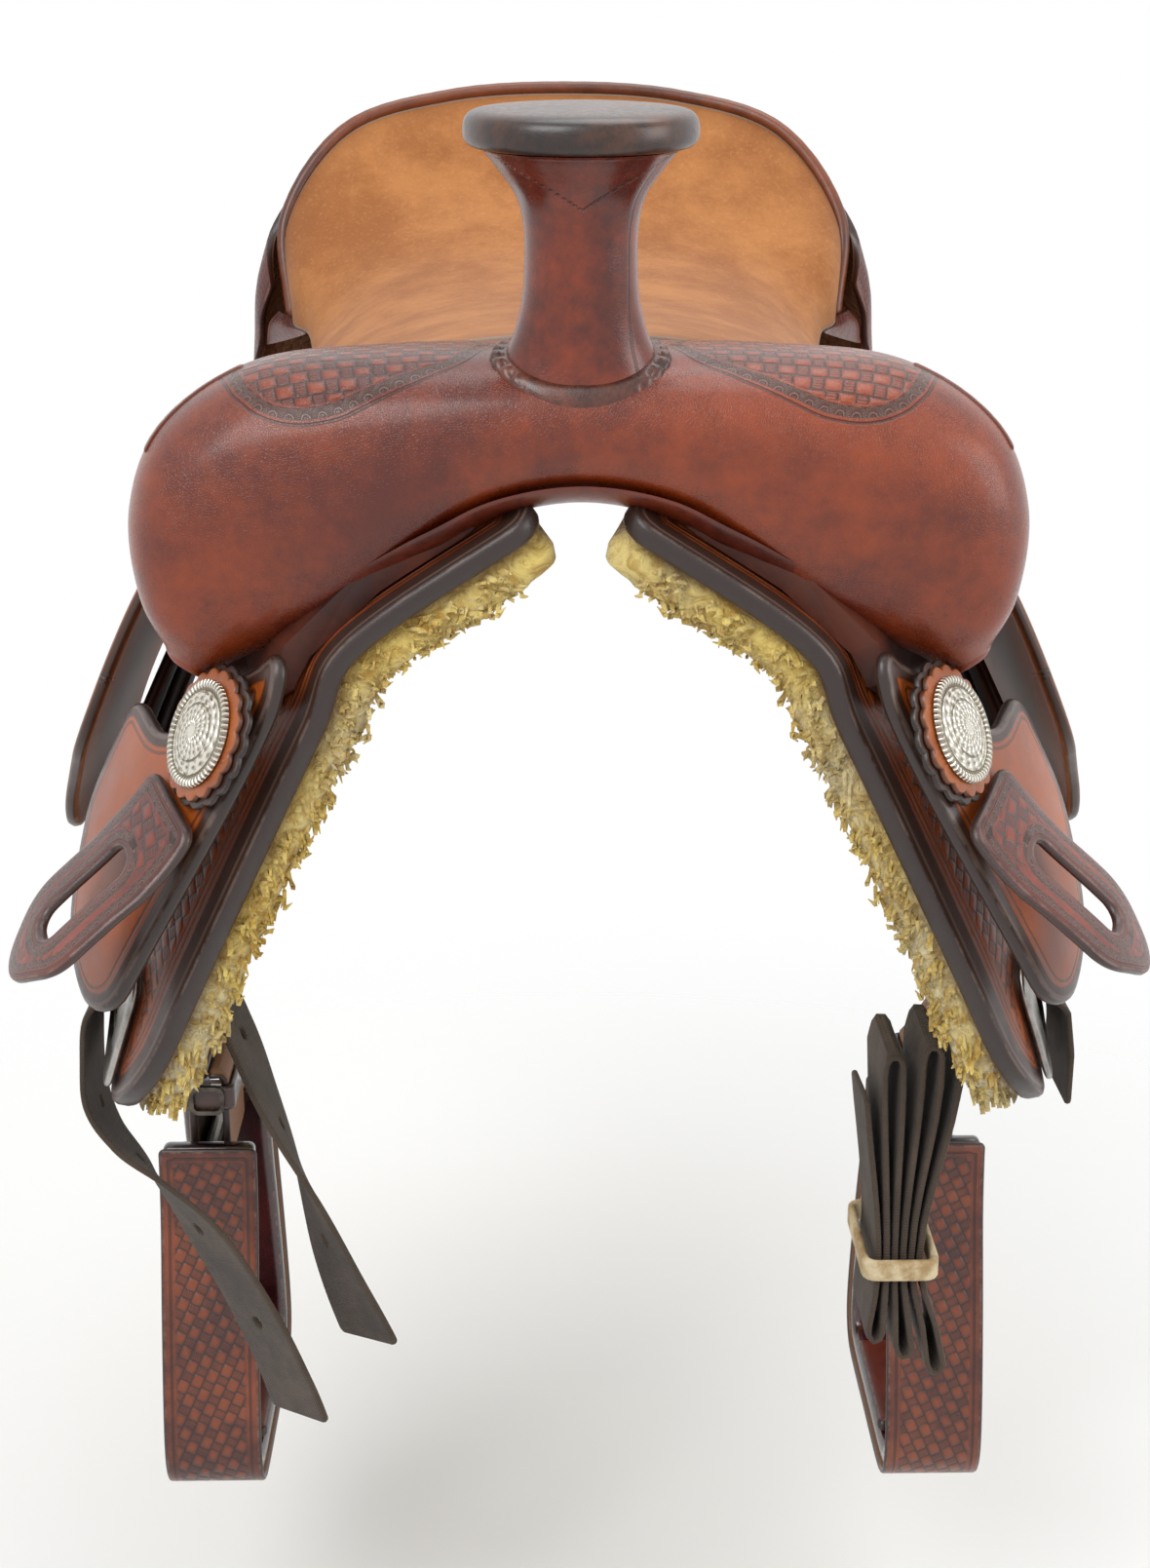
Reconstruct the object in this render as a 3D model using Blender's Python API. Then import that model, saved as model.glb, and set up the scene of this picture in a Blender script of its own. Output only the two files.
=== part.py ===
"""Western trail saddle, as separate solids. Metres, +Z up.

The fork faces -Y. +X is the near side, -X the off side. The origin lies in the gullet
channel on the plane of symmetry, half way along the skirts, where the saddle is held up.
Every leather panel is a flat pattern in two lengths, y along the saddle and s down its
side, draped over the flank at a height h above the skirt's outer face.
"""
import math

import bmesh
import bpy
import numpy as np
from mathutils import Matrix, Vector, geometry

GAP = 0.0003
DRAPE_GAP = 0.0016

# flank: cross-section of the skirt's outer face (x, z) at three places along the saddle
FRONT_Y = -0.243
MID_START = -0.133
MID_END = 0.16
REAR_Y = 0.417
FRONT_SECTION = [(0.0152, 0.045), (0.0805, 0.000), (0.0965, -0.033), (0.1260, -0.094),
                 (0.1435, -0.130), (0.1774, -0.200)]
MID_SECTION = [(0.0300, 0.056), (0.1000, 0.014), (0.1330, -0.023), (0.1680, -0.094),
               (0.1780, -0.130), (0.1850, -0.200)]
REAR_SECTION = [(0.0340, 0.060), (0.1080, 0.032), (0.1500, 0.000), (0.1850, -0.055),
                (0.1960, -0.090), (0.2060, -0.150)]

# skirts, fleece and bars
SKIRT_THICK = 0.0085
SKIRT_BOTTOM = 0.303
SKIRT_REAR_BOTTOM = 0.250
SKIRT_CORNER = 0.055
FLEECE_THICK = 0.015
FLEECE_INSET = 0.0015
BAR_THICK = 0.020
BAR_EDGE = 0.008
BAR_TOP_S = 0.014
BAR_BOTTOM_S = 0.134
BAR_FRONT_Y = -0.232
BAR_REAR_Y = 0.330

# fork, as pairs of (x, z) points on its upper and lower outline, from centre to swell tip
FORK_PAIRS = [((0.0, 0.0950), (0.0, 0.0470)), ((0.030, 0.0955), (0.030, 0.0410)),
              ((0.066, 0.0950), (0.052, 0.0260)), ((0.113, 0.0900), (0.078, 0.0040)),
              ((0.146, 0.0700), (0.094, -0.0030)), ((0.1585, 0.0420), (0.106, -0.0080)),
              ((0.1570, 0.0120), (0.119, -0.0130)), ((0.1490, -0.0080), (0.131, -0.0195))]
FORK_Y = -0.198
FORK_HALF_DEPTH = [0.047, 0.047, 0.046, 0.045, 0.043, 0.040, 0.034, 0.022]
FORK_SQUARE = 2.7
FORK_LEATHER = 0.0035
FORK_SIDES = 22
GULLET_LEATHER = 0.0025
WELT_WIDTH = 0.006
WELT_HEIGHT = 0.0022

# horn
HORN_Y = -0.222
HORN_BASE_Z = 0.0955
HORN_TOP_Z = 0.176
HORN_CORE_R = 0.0145
HORN_NECK_R = 0.0190
HORN_BASE_R = 0.0260
HORN_CAP_R = 0.0390
HORN_CAP_THICK = 0.0120
HORN_TILT = math.radians(3.0)

# seat rows from fork to cantle rim, each from the centre line outwards
SEAT_ROWS = [
    [(0, -0.148, 0.0930), (0.045, -0.148, 0.0900), (0.085, -0.148, 0.0780),
     (0.112, -0.148, 0.0590), (0.124, -0.148, 0.0450)],
    [(0, -0.060, 0.0890), (0.045, -0.060, 0.0860), (0.085, -0.060, 0.0750),
     (0.112, -0.060, 0.0570), (0.124, -0.060, 0.0440)],
    [(0, 0.040, 0.0860), (0.045, 0.040, 0.0840), (0.085, 0.040, 0.0740),
     (0.112, 0.040, 0.0570), (0.124, 0.040, 0.0440)],
    [(0, 0.120, 0.0920), (0.050, 0.120, 0.0900), (0.090, 0.120, 0.0800),
     (0.114, 0.120, 0.0620), (0.1245, 0.120, 0.0475)],
    [(0, 0.170, 0.1020), (0.053, 0.170, 0.1000), (0.096, 0.165, 0.0900),
     (0.122, 0.157, 0.0730), (0.129, 0.152, 0.0550)],
    [(0, 0.212, 0.1270), (0.057, 0.209, 0.1240), (0.104, 0.198, 0.1120),
     (0.135, 0.182, 0.0860), (0.138, 0.176, 0.0560)],
    [(0, 0.247, 0.1690), (0.060, 0.245, 0.1650), (0.112, 0.232, 0.1490),
     (0.143, 0.213, 0.1060), (0.141, 0.198, 0.0580)]]
SUEDE_THICK = 0.003
PADDING_THICK = 0.008
GROUND_SEAT_THICK = 0.004
CANTLE_BOARD_THICK = 0.012
CANTLE_BACK_THICK = 0.004
BINDING_R = 0.0042

# stack heights above the skirt's outer face
JOCKEY_THICK = 0.0050
JOCKEY_TOP_S = 0.086
JOCKEY_BOTTOM_S = 0.247
JOCKEY_TOP_H = 0.0370
JOCKEY_BOTTOM_H = 0.0320
JOCKEY_FRONT_Y = -0.146
JOCKEY_REAR_Y = 0.140
FENDER_THICK = 0.0045
LEATHER_THICK = 0.0070
LEATHER_WIDTH = 0.064
LEATHER_Y = -0.025
REAR_JOCKEY_THICK = 0.005


def clear_scene():
    for old in list(bpy.data.objects):
        bpy.data.objects.remove(old, do_unlink=True)


def material(name, colour, roughness, metallic=0.0):
    mat = bpy.data.materials.get(name)
    if mat is None:
        mat = bpy.data.materials.new(name)
        mat.use_nodes = True
        shader = mat.node_tree.nodes["Principled BSDF"]
        shader.inputs["Base Color"].default_value = (*colour, 1.0)
        shader.inputs["Roughness"].default_value = roughness
        shader.inputs["Metallic"].default_value = metallic
    return mat


MAHOGANY = ("mahogany_leather", (0.20, 0.032, 0.012), 0.30)
TAN = ("tan_leather", (0.38, 0.09, 0.02), 0.42)
SUEDE = ("roughout_leather", (0.46, 0.20, 0.06), 0.95)
DARK = ("dark_leather", (0.035, 0.018, 0.012), 0.5)
WEBBING = ("nylon_webbing", (0.055, 0.042, 0.034), 0.8)
FLEECE = ("fleece", (0.75, 0.62, 0.28), 1.0)
WOOD = ("tree_wood", (0.50, 0.33, 0.17), 0.6)
STEEL = ("steel", (0.45, 0.44, 0.42), 0.35, 1.0)
SILVER = ("engraved_silver", (0.72, 0.70, 0.64), 0.3, 1.0)
FOAM = ("seat_foam", (0.62, 0.58, 0.50), 0.9)
THONG = ("pale_thong", (0.62, 0.50, 0.34), 0.8)
BURGUNDY = ("burgundy_leather", (0.045, 0.006, 0.006), 0.2)


def add_object(name, mesh_data, finish, smooth_angle=35.0, origin=(0.0, 0.0, 0.0)):
    """Make one object from a bmesh, with its origin at the given world point."""
    bmesh.ops.recalc_face_normals(mesh_data, faces=mesh_data.faces)
    if mesh_data.calc_volume(signed=True) < 0.0:
        bmesh.ops.reverse_faces(mesh_data, faces=mesh_data.faces)
    bmesh.ops.translate(mesh_data, verts=mesh_data.verts, vec=-Vector(origin))
    mesh = bpy.data.meshes.new(name)
    mesh_data.to_mesh(mesh)
    mesh_data.free()
    mesh.materials.append(material(*finish))
    mesh.shade_smooth()
    mesh.set_sharp_from_angle(angle=math.radians(smooth_angle))
    obj = bpy.data.objects.new(name, mesh)
    bpy.context.collection.objects.link(obj)
    obj.location = origin
    return obj


def cut(target, cutter):
    """Boolean difference with a hidden cutter that stays in the file."""
    cutter.hide_render = True
    cutter.display_type = "WIRE"
    mod = target.modifiers.new("cut_" + cutter.name, "BOOLEAN")
    mod.operation = "DIFFERENCE"
    mod.solver = "EXACT"
    mod.object = cutter


def smoothstep(t):
    t = min(max(t, 0.0), 1.0)
    return t * t * (3.0 - 2.0 * t)


def catmull(points, t):
    """Point at parameter t (0 at the first point, n-1 at the last) on a smooth curve."""
    last = len(points) - 1
    i = min(max(int(math.floor(t)), 0), last - 1)
    f = t - i
    p1 = np.array(points[i], float)
    p2 = np.array(points[i + 1], float)
    p0 = np.array(points[i - 1], float) if i > 0 else 2.0 * p1 - p2
    p3 = np.array(points[i + 2], float) if i + 2 <= last else 2.0 * p2 - p1
    if f < 0.0:
        return p1 + (p2 - p0) * 0.5 * f
    if f > 1.0:
        return p2 + (p3 - p1) * 0.5 * (f - 1.0)
    return 0.5 * ((2.0 * p1) + (p2 - p0) * f + (2.0 * p0 - 5.0 * p1 + 4.0 * p2 - p3) * f ** 2
                  + (3.0 * p1 - p0 - 3.0 * p2 + p3) * f ** 3)


def section_table(points, steps=160):
    """Points on a section's smooth curve and their lengths from its top."""
    curve = np.array([catmull(points, i * (len(points) - 1) / steps) for i in range(steps + 1)])
    length = np.concatenate([[0.0], np.cumsum(np.linalg.norm(np.diff(curve, axis=0), axis=1))])
    return curve, length


def section_point(table, s):
    curve, length = table
    if s < 0.0:
        slope = (curve[3] - curve[0]) / (length[3] - length[0])
        return curve[0] + slope * s
    if s > length[-1]:
        slope = (curve[-1] - curve[-4]) / (length[-1] - length[-4])
        return curve[-1] + slope * (s - length[-1])
    return np.array([np.interp(s, length, curve[:, 0]), np.interp(s, length, curve[:, 1])])


FRONT_TABLE = section_table(FRONT_SECTION)
MID_TABLE = section_table(MID_SECTION)
REAR_TABLE = section_table(REAR_SECTION)


def flank_base(y, s):
    mid = section_point(MID_TABLE, s)
    if y < MID_START:
        t = (MID_START - y) / (MID_START - FRONT_Y)
        weight = t * t if t < 1.0 else 2.0 * t - 1.0
        point = mid + (section_point(FRONT_TABLE, s) - mid) * weight
    elif y > MID_END:
        weight = smoothstep((y - MID_END) / (REAR_Y - MID_END))
        point = mid + (section_point(REAR_TABLE, s) - mid) * weight
    else:
        point = mid
    return Vector((point[0], y, point[1]))


def flank_normal(y, s):
    d = 0.004
    along = flank_base(y + d, s) - flank_base(y - d, s)
    down = flank_base(y, s + d) - flank_base(y, s - d)
    return along.cross(down).normalized() * -1.0


def flank(y, s, h=0.0):
    """World point on the near side: y along, s down the side, h out from the skirt."""
    return flank_base(y, s) + flank_normal(y, s) * h


def mirror_side(point, side):
    return Vector((point[0] * side, point[1], point[2]))


def round_corners(corners, steps=4):
    """Closed outline from (a, b, radius) corners, with arcs in place of sharp corners."""
    outline = []
    count = len(corners)
    for i in range(count):
        here = Vector(corners[i][:2])
        before = Vector(corners[i - 1][:2])
        after = Vector(corners[(i + 1) % count][:2])
        radius = corners[i][2]
        u = (before - here).normalized()
        v = (after - here).normalized()
        if radius <= 0.0:
            outline.append(tuple(here))
            continue
        half = math.acos(max(-1.0, min(1.0, u.dot(v)))) / 2.0
        reach = min(radius / math.tan(half), (before - here).length * 0.49,
                    (after - here).length * 0.49)
        radius = reach * math.tan(half)
        centre = here + (u + v).normalized() * (radius / math.sin(half))
        start = here + u * reach - centre
        end = here + v * reach - centre
        turn = math.atan2(start.x * end.y - start.y * end.x, start.dot(end))
        for k in range(steps + 1):
            a = turn * k / steps
            outline.append((centre.x + start.x * math.cos(a) - start.y * math.sin(a),
                            centre.y + start.x * math.sin(a) + start.y * math.cos(a)))
    return outline


def split_long(outline, longest):
    """Add points along an outline's long edges, so that the drape can bend there."""
    result = []
    for i, point in enumerate(outline):
        a = Vector(point)
        b = Vector(outline[(i + 1) % len(outline)])
        parts = max(1, int(math.ceil((b - a).length / longest - 1e-6)))
        result += [tuple(a.lerp(b, k / parts)) for k in range(parts)]
    return result


def inside(point, outline):
    x, y = point
    hit = False
    for i in range(len(outline)):
        x1, y1 = outline[i - 1]
        x2, y2 = outline[i]
        if (y1 > y) != (y2 > y) and x < (x2 - x1) * (y - y1) / (y2 - y1) + x1:
            hit = not hit
    return hit


def edge_distance(point, outline):
    p = Vector(point)
    best = 1e9
    for i in range(len(outline)):
        a = Vector(outline[i - 1])
        b = Vector(outline[i])
        ab = b - a
        t = max(0.0, min(1.0, (p - a).dot(ab) / max(ab.length_squared, 1e-12)))
        best = min(best, (p - a - ab * t).length)
    return best


def panel_mesh(outline, drape, step_a, step_b, holes=()):
    """Closed sheet over an outline with holes. drape(a, b) gives (inner, outer) points."""
    loops = [split_long(outline, max(step_a, step_b) * 0.8)]
    loops += [split_long(hole, 0.02) for hole in holes]
    points = []
    edges = []
    for loop in loops:
        start = len(points)
        points += loop
        edges += [(start + i, start + (i + 1) % len(loop)) for i in range(len(loop))]
    low_a = min(p[0] for p in loops[0])
    high_a = max(p[0] for p in loops[0])
    low_b = min(p[1] for p in loops[0])
    high_b = max(p[1] for p in loops[0])
    keep_off = min(step_a, step_b) * 0.45
    for i in range(int(math.floor(low_a / step_a)), int(math.ceil(high_a / step_a)) + 1):
        a = i * step_a
        for j in range(int(math.floor(low_b / step_b)), int(math.ceil(high_b / step_b)) + 1):
            b = j * step_b
            if not inside((a, b), loops[0]) or edge_distance((a, b), loops[0]) < keep_off:
                continue
            if any(inside((a, b), h) or edge_distance((a, b), h) < keep_off * 0.6
                   for h in loops[1:]):
                continue
            points.append((a, b))
    verts, _, faces, _, _, _ = geometry.delaunay_2d_cdt(
        [Vector(p) for p in points], edges, [], 1, 1e-7)
    bm = bmesh.new()
    inner = []
    outer = []
    for v in verts:
        low, high = drape(v.x, v.y)
        inner.append(bm.verts.new(low))
        outer.append(bm.verts.new(high))
    used = {}
    for face in faces:
        centre = sum((Vector(verts[i]) for i in face), Vector((0.0, 0.0))) / len(face)
        if not inside(centre, loops[0]) or any(inside(centre, h) for h in loops[1:]):
            continue
        bm.faces.new([outer[i] for i in face])
        bm.faces.new([inner[i] for i in reversed(face)])
        for k in range(len(face)):
            a, b = face[k - 1], face[k]
            if (b, a) in used:
                used.pop((b, a))
            else:
                used[(a, b)] = True
    for a, b in used:
        bm.faces.new([outer[b], outer[a], inner[a], inner[b]])
    loose = [v for v in bm.verts if not v.link_faces]
    bmesh.ops.delete(bm, geom=loose, context="VERTS")
    return bm


def flank_panel(name, side, outline, low, high, finish, step=(0.03, 0.025), holes=(),
                origin=(0.0, 0.0, 0.0)):
    """Leather panel on one side. low and high are heights, or functions of (y, s)."""
    def drape(y, s):
        h0 = low(y, s) if callable(low) else low
        h1 = high(y, s) if callable(high) else high
        return mirror_side(flank(y, s, h0), side), mirror_side(flank(y, s, h1), side)
    bm = panel_mesh(outline, drape, step[0], step[1], holes)
    return add_object(name, bm, finish, origin=origin)


def loft(rings, closed_path=False):
    """Closed solid through rings of equal point count, its end rings filled."""
    bm = bmesh.new()
    verts = [[bm.verts.new(p) for p in ring] for ring in rings]
    count = len(rings[0])
    pairs = range(len(rings)) if closed_path else range(1, len(rings))
    for i in pairs:
        for k in range(count):
            a, b = verts[i - 1], verts[i]
            bm.faces.new([a[k - 1], a[k], b[k], b[k - 1]])
    if not closed_path:
        bm.faces.new(verts[0])
        bm.faces.new(list(reversed(verts[-1])))
    return bm


def turned(name, profile, finish, base, tilt, sides=20):
    """Solid of revolution from (radius, height) points, open axis closed with caps."""
    bm = bmesh.new()
    rings = []
    for radius, height in profile:
        rings.append([bm.verts.new((radius * math.cos(2 * math.pi * k / sides),
                                    radius * math.sin(2 * math.pi * k / sides), height))
                      for k in range(sides)])
    hollow = abs(profile[0][0] - profile[-1][0]) < 1e-9 and abs(
        profile[0][1] - profile[-1][1]) < 1e-9
    if hollow:
        for v in rings[-1]:
            bm.verts.remove(v)
        rings = rings[:-1]
        pairs = range(len(rings))
    else:
        pairs = range(1, len(rings))
    for i in pairs:
        for k in range(sides):
            bm.faces.new([rings[i - 1][k - 1], rings[i - 1][k], rings[i][k], rings[i][k - 1]])
    if not hollow:
        bm.faces.new(rings[0])
        bm.faces.new(list(reversed(rings[-1])))
    bmesh.ops.transform(bm, verts=bm.verts, matrix=Matrix.Translation(base)
                        @ Matrix.Rotation(tilt, 4, "X"))
    return add_object(name, bm, finish)


# fork, gullet lining and welts

FORK_STATIONS = ([((-t[0], t[1]), (-b[0], b[1])) for t, b in reversed(FORK_PAIRS[1:])]
                 + FORK_PAIRS)
FORK_DEPTHS = FORK_HALF_DEPTH[:0:-1] + FORK_HALF_DEPTH
FORK_LAST = len(FORK_PAIRS) - 1


def fork_point(u, angle, off=0.0):
    """Point on the fork's skin. u runs from -FORK_LAST to FORK_LAST, off goes inwards."""
    t = u + FORK_LAST
    top = catmull([p[0] for p in FORK_STATIONS], t)
    bottom = catmull([p[1] for p in FORK_STATIONS], t)
    depth = float(catmull([(d,) for d in FORK_DEPTHS], t)[0]) - off
    centre = (top + bottom) / 2.0
    up = top - bottom
    half = np.linalg.norm(up) / 2.0
    up = up / (2.0 * half)
    half -= off
    power = 2.0 / FORK_SQUARE
    lift = half * math.copysign(abs(math.sin(angle)) ** power, math.sin(angle))
    reach = depth * math.copysign(abs(math.cos(angle)) ** power, math.cos(angle))
    return Vector((centre[0] + up[0] * lift, FORK_Y - reach, centre[1] + up[1] * lift))


def fork_mesh(off, sides=FORK_SIDES):
    stations = list(range(-FORK_LAST, FORK_LAST + 1))
    rings = [[fork_point(u, 2.0 * math.pi * k / sides, off) for k in range(sides)]
             for u in stations]
    ends = []
    for ring, nearby in ((rings[0], rings[2]), (rings[-1], rings[-3])):
        centre = sum(ring, Vector()) / sides
        away = (centre - sum(nearby, Vector()) / sides).normalized()
        ends.append([centre + (p - centre) * 0.72 + away * (0.0035 - off * 0.3) for p in ring])
    return loft([ends[0]] + rings + [ends[1]])


def fork_patch(name, last_u, sides, off_low, off_high, finish):
    """Strip laid on the fork's skin, between two of the skin's own lengthwise edges."""
    rings = []
    for u in range(-last_u, last_u + 1):
        angles = [2.0 * math.pi * k / FORK_SIDES for k in range(sides[0], sides[1] + 1)]
        rings.append([fork_point(u, a, off_low) for a in angles]
                     + [fork_point(u, a, off_high) for a in reversed(angles)])
    return add_object(name, loft(rings), finish)


def bar_top(y, s):
    t = (s - BAR_TOP_S) / (BAR_BOTTOM_S - BAR_TOP_S)
    full = smoothstep(min(t, 1.0 - t) * 3.2)
    ends = 0.62 + 0.38 * smoothstep(min(y - BAR_FRONT_Y, BAR_REAR_Y - y) / 0.07)
    height = (BAR_EDGE + (BAR_THICK - BAR_EDGE) * full) * ends
    groove = (smoothstep((s - (BAR_TOP_S + 0.050)) / 0.02)
              * smoothstep((GROOVE_HALF - abs(y - LEATHER_Y)) / 0.012 + 0.5))
    return height + (GROOVE_FLOOR - height) * groove


GROOVE_HALF = LEATHER_WIDTH / 2.0 + 0.026
GROOVE_FLOOR = 0.0095


def bar_outline(grow=0.0):
    return round_corners([
        (BAR_FRONT_Y - grow, BAR_TOP_S - grow, 0.012), (BAR_REAR_Y + grow, BAR_TOP_S - grow, 0.03),
        (BAR_REAR_Y + grow, BAR_BOTTOM_S + grow, 0.04),
        (BAR_FRONT_Y - grow, BAR_BOTTOM_S + grow, 0.04)])


def build_tree():
    bars = []
    cutters = []
    for side, word in ((1, "near"), (-1, "off")):
        bars.append(flank_panel("tree_bar_" + word, side, bar_outline(), DRAPE_GAP, bar_top, WOOD,
                                step=(0.045, 0.027)))
        cutters.append(flank_panel("bar_space_" + word, side, bar_outline(3.0 * GAP), -0.020,
                                   lambda y, s: bar_top(y, s) + 2.0 * GAP, WOOD,
                                   step=(0.045, 0.027)))
        bed = [(-0.300, -0.001), (-0.090, -0.001), (-0.090, 0.210), (-0.300, 0.210)]
        cutters.append(flank_panel("skirt_space_" + word, side, bed, -0.022, GAP, WOOD))
    inner = add_object("fork_space", fork_mesh(FORK_LEATHER), WOOD)
    tree = add_object("tree_fork", fork_mesh(FORK_LEATHER + 3.0 * GAP), WOOD)
    cover = add_object("fork_cover", fork_mesh(0.0), MAHOGANY)
    hole = turned("horn_hole", [(HORN_CORE_R + GAP, -0.016), (HORN_CORE_R + GAP, 0.020)],
                  STEEL, (0.0, HORN_Y, HORN_BASE_Z), HORN_TILT)
    lining = fork_patch("gullet_lining", 3, (-5, -2), -DRAPE_GAP, -DRAPE_GAP - GULLET_LEATHER,
                        DARK)
    for cutter in cutters:
        cut(cover, cutter)
        cut(tree, cutter)
        cut(lining, cutter)
    cut(cover, inner)
    cut(cover, hole)
    outer = add_object("cover_space", fork_mesh(-GAP), WOOD)
    return inner, outer


def build_welts():
    """A thin raised welt closes the cover over the top rear of each swell."""
    for side, word in ((1, "near"), (-1, "off")):
        def drape(t, w):
            u = side * (3.3 + 2.2 * t)
            angle = 1.95 + 0.55 * t + w / 0.055
            return (fork_point(u, angle, -DRAPE_GAP),
                    fork_point(u, angle, -DRAPE_GAP - WELT_HEIGHT))
        outline = [(0.0, -WELT_WIDTH / 2), (1.0, -WELT_WIDTH / 2), (1.0, WELT_WIDTH / 2),
                   (0.0, WELT_WIDTH / 2)]
        add_object("swell_welt_" + word, panel_mesh(outline, drape, 0.09, WELT_WIDTH / 2), DARK)


# horn

def build_horn(tree_space, cover_space):
    base = (0.0, HORN_Y, HORN_BASE_Z)
    top = HORN_TOP_Z - HORN_BASE_Z
    low = top - HORN_CAP_THICK
    disc_r = HORN_CAP_R - 0.0058
    core = turned("horn_core", [
        (HORN_CORE_R, -0.012), (HORN_CORE_R, low + 0.0005), (disc_r, low + 0.0020),
        (disc_r, top - 0.0045), (0.0006, top - 0.0045)], STEEL, base, HORN_TILT)
    cut(core, tree_space)
    bore = HORN_CORE_R + GAP
    under = low - GAP
    wrap = turned("horn_neck_wrap", [
        (bore, -0.010), (HORN_BASE_R, -0.010), (HORN_BASE_R, 0.001),
        (HORN_BASE_R - 0.0035, 0.009), (HORN_NECK_R + 0.0008, 0.020), (HORN_NECK_R, 0.034),
        (HORN_NECK_R + 0.0002, 0.045), (HORN_NECK_R + 0.0022, 0.053),
        (HORN_NECK_R + 0.0100, under - 0.004), (HORN_NECK_R + 0.0125, under - 0.0012),
        (HORN_NECK_R + 0.0125, under), (bore, under), (bore, -0.010)],
        MAHOGANY, base, HORN_TILT)
    cut(wrap, cover_space)
    lip = low + 0.0002
    turned("horn_cap", [
        (0.0006, top - 0.0042), (disc_r + GAP, top - 0.0042), (disc_r + GAP, lip),
        (HORN_CAP_R - 0.0022, lip), (HORN_CAP_R - 0.0004, lip + 0.0020),
        (HORN_CAP_R, lip + 0.0050), (HORN_CAP_R - 0.0006, top - 0.0034),
        (HORN_CAP_R - 0.0030, top - 0.0010), (HORN_CAP_R - 0.0080, top),
        (0.0006, top + 0.0006)], DARK, base, HORN_TILT, sides=28)
    sides = 36
    rings = []
    inner_r = HORN_BASE_R + GAP
    for height, out in ((-0.010, 0.0), (-0.010, 1.0), (0.0015, 1.0), (0.0026, 0.55),
                        (0.0026, 0.0)):
        ring = []
        for k in range(sides):
            a = 2.0 * math.pi * k / sides
            crimp = 0.0005 * math.cos(a * 12)
            r = inner_r + (0.0052 + crimp) * out
            ring.append(Vector((r * math.cos(a), r * math.sin(a), height)))
        rings.append(ring)
    bm = loft(rings, closed_path=True)
    bmesh.ops.transform(bm, verts=bm.verts, matrix=Matrix.Translation(base)
                        @ Matrix.Rotation(HORN_TILT, 4, "X"))
    crimped = add_object("horn_base_ring", bm, DARK, smooth_angle=25.0)
    cut(crimped, cover_space)


# seat, cantle

def full_rows(rows):
    return [[(-x, y, z) for x, y, z in reversed(row[1:])] + list(row) for row in rows]


SEAT_NET = full_rows(SEAT_ROWS)


def net_base(net, u, v):
    across = [catmull(row, u + 4.0) for row in net]
    return Vector(catmull(across, v))


def net_point(net, u, v, off=0.0):
    """Point on a net of control rows, moved along its normal. u=0 is the centre line."""
    point = net_base(net, u, v)
    if off == 0.0:
        return point
    du = net_base(net, u + 0.03, v) - net_base(net, u - 0.03, v)
    dv = net_base(net, u, v + 0.03) - net_base(net, u, v - 0.03)
    return point + du.cross(dv).normalized() * off


def net_sheet(name, net, outline, off_low, off_high, finish, step=(0.4, 0.4)):
    def drape(u, v):
        return net_point(net, u, v, off_low), net_point(net, u, v, off_high)
    return add_object(name, panel_mesh(outline, drape, step[0], step[1]), finish)


def cantle_back_net():
    rim = SEAT_ROWS[-1]
    rows = []
    for drop, flare, back in ((0.09, 0.0060, 0.0085), (0.45, 0.0120, 0.020), (0.95, 0.0140, 0.034)):
        row = []
        for x, y, z in rim:
            floor = 0.095 - 0.050 * smoothstep((abs(x) - 0.045) / 0.105)
            out = min(abs(x) / 0.11, 1.0)
            row.append((x + flare * out * (1 if x > 0 else 0), y + back * (1.0 - 0.85 * out ** 3),
                        z - 0.001 - (z - floor) * drop))
        rows.append(row)
    return full_rows(rows)


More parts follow.
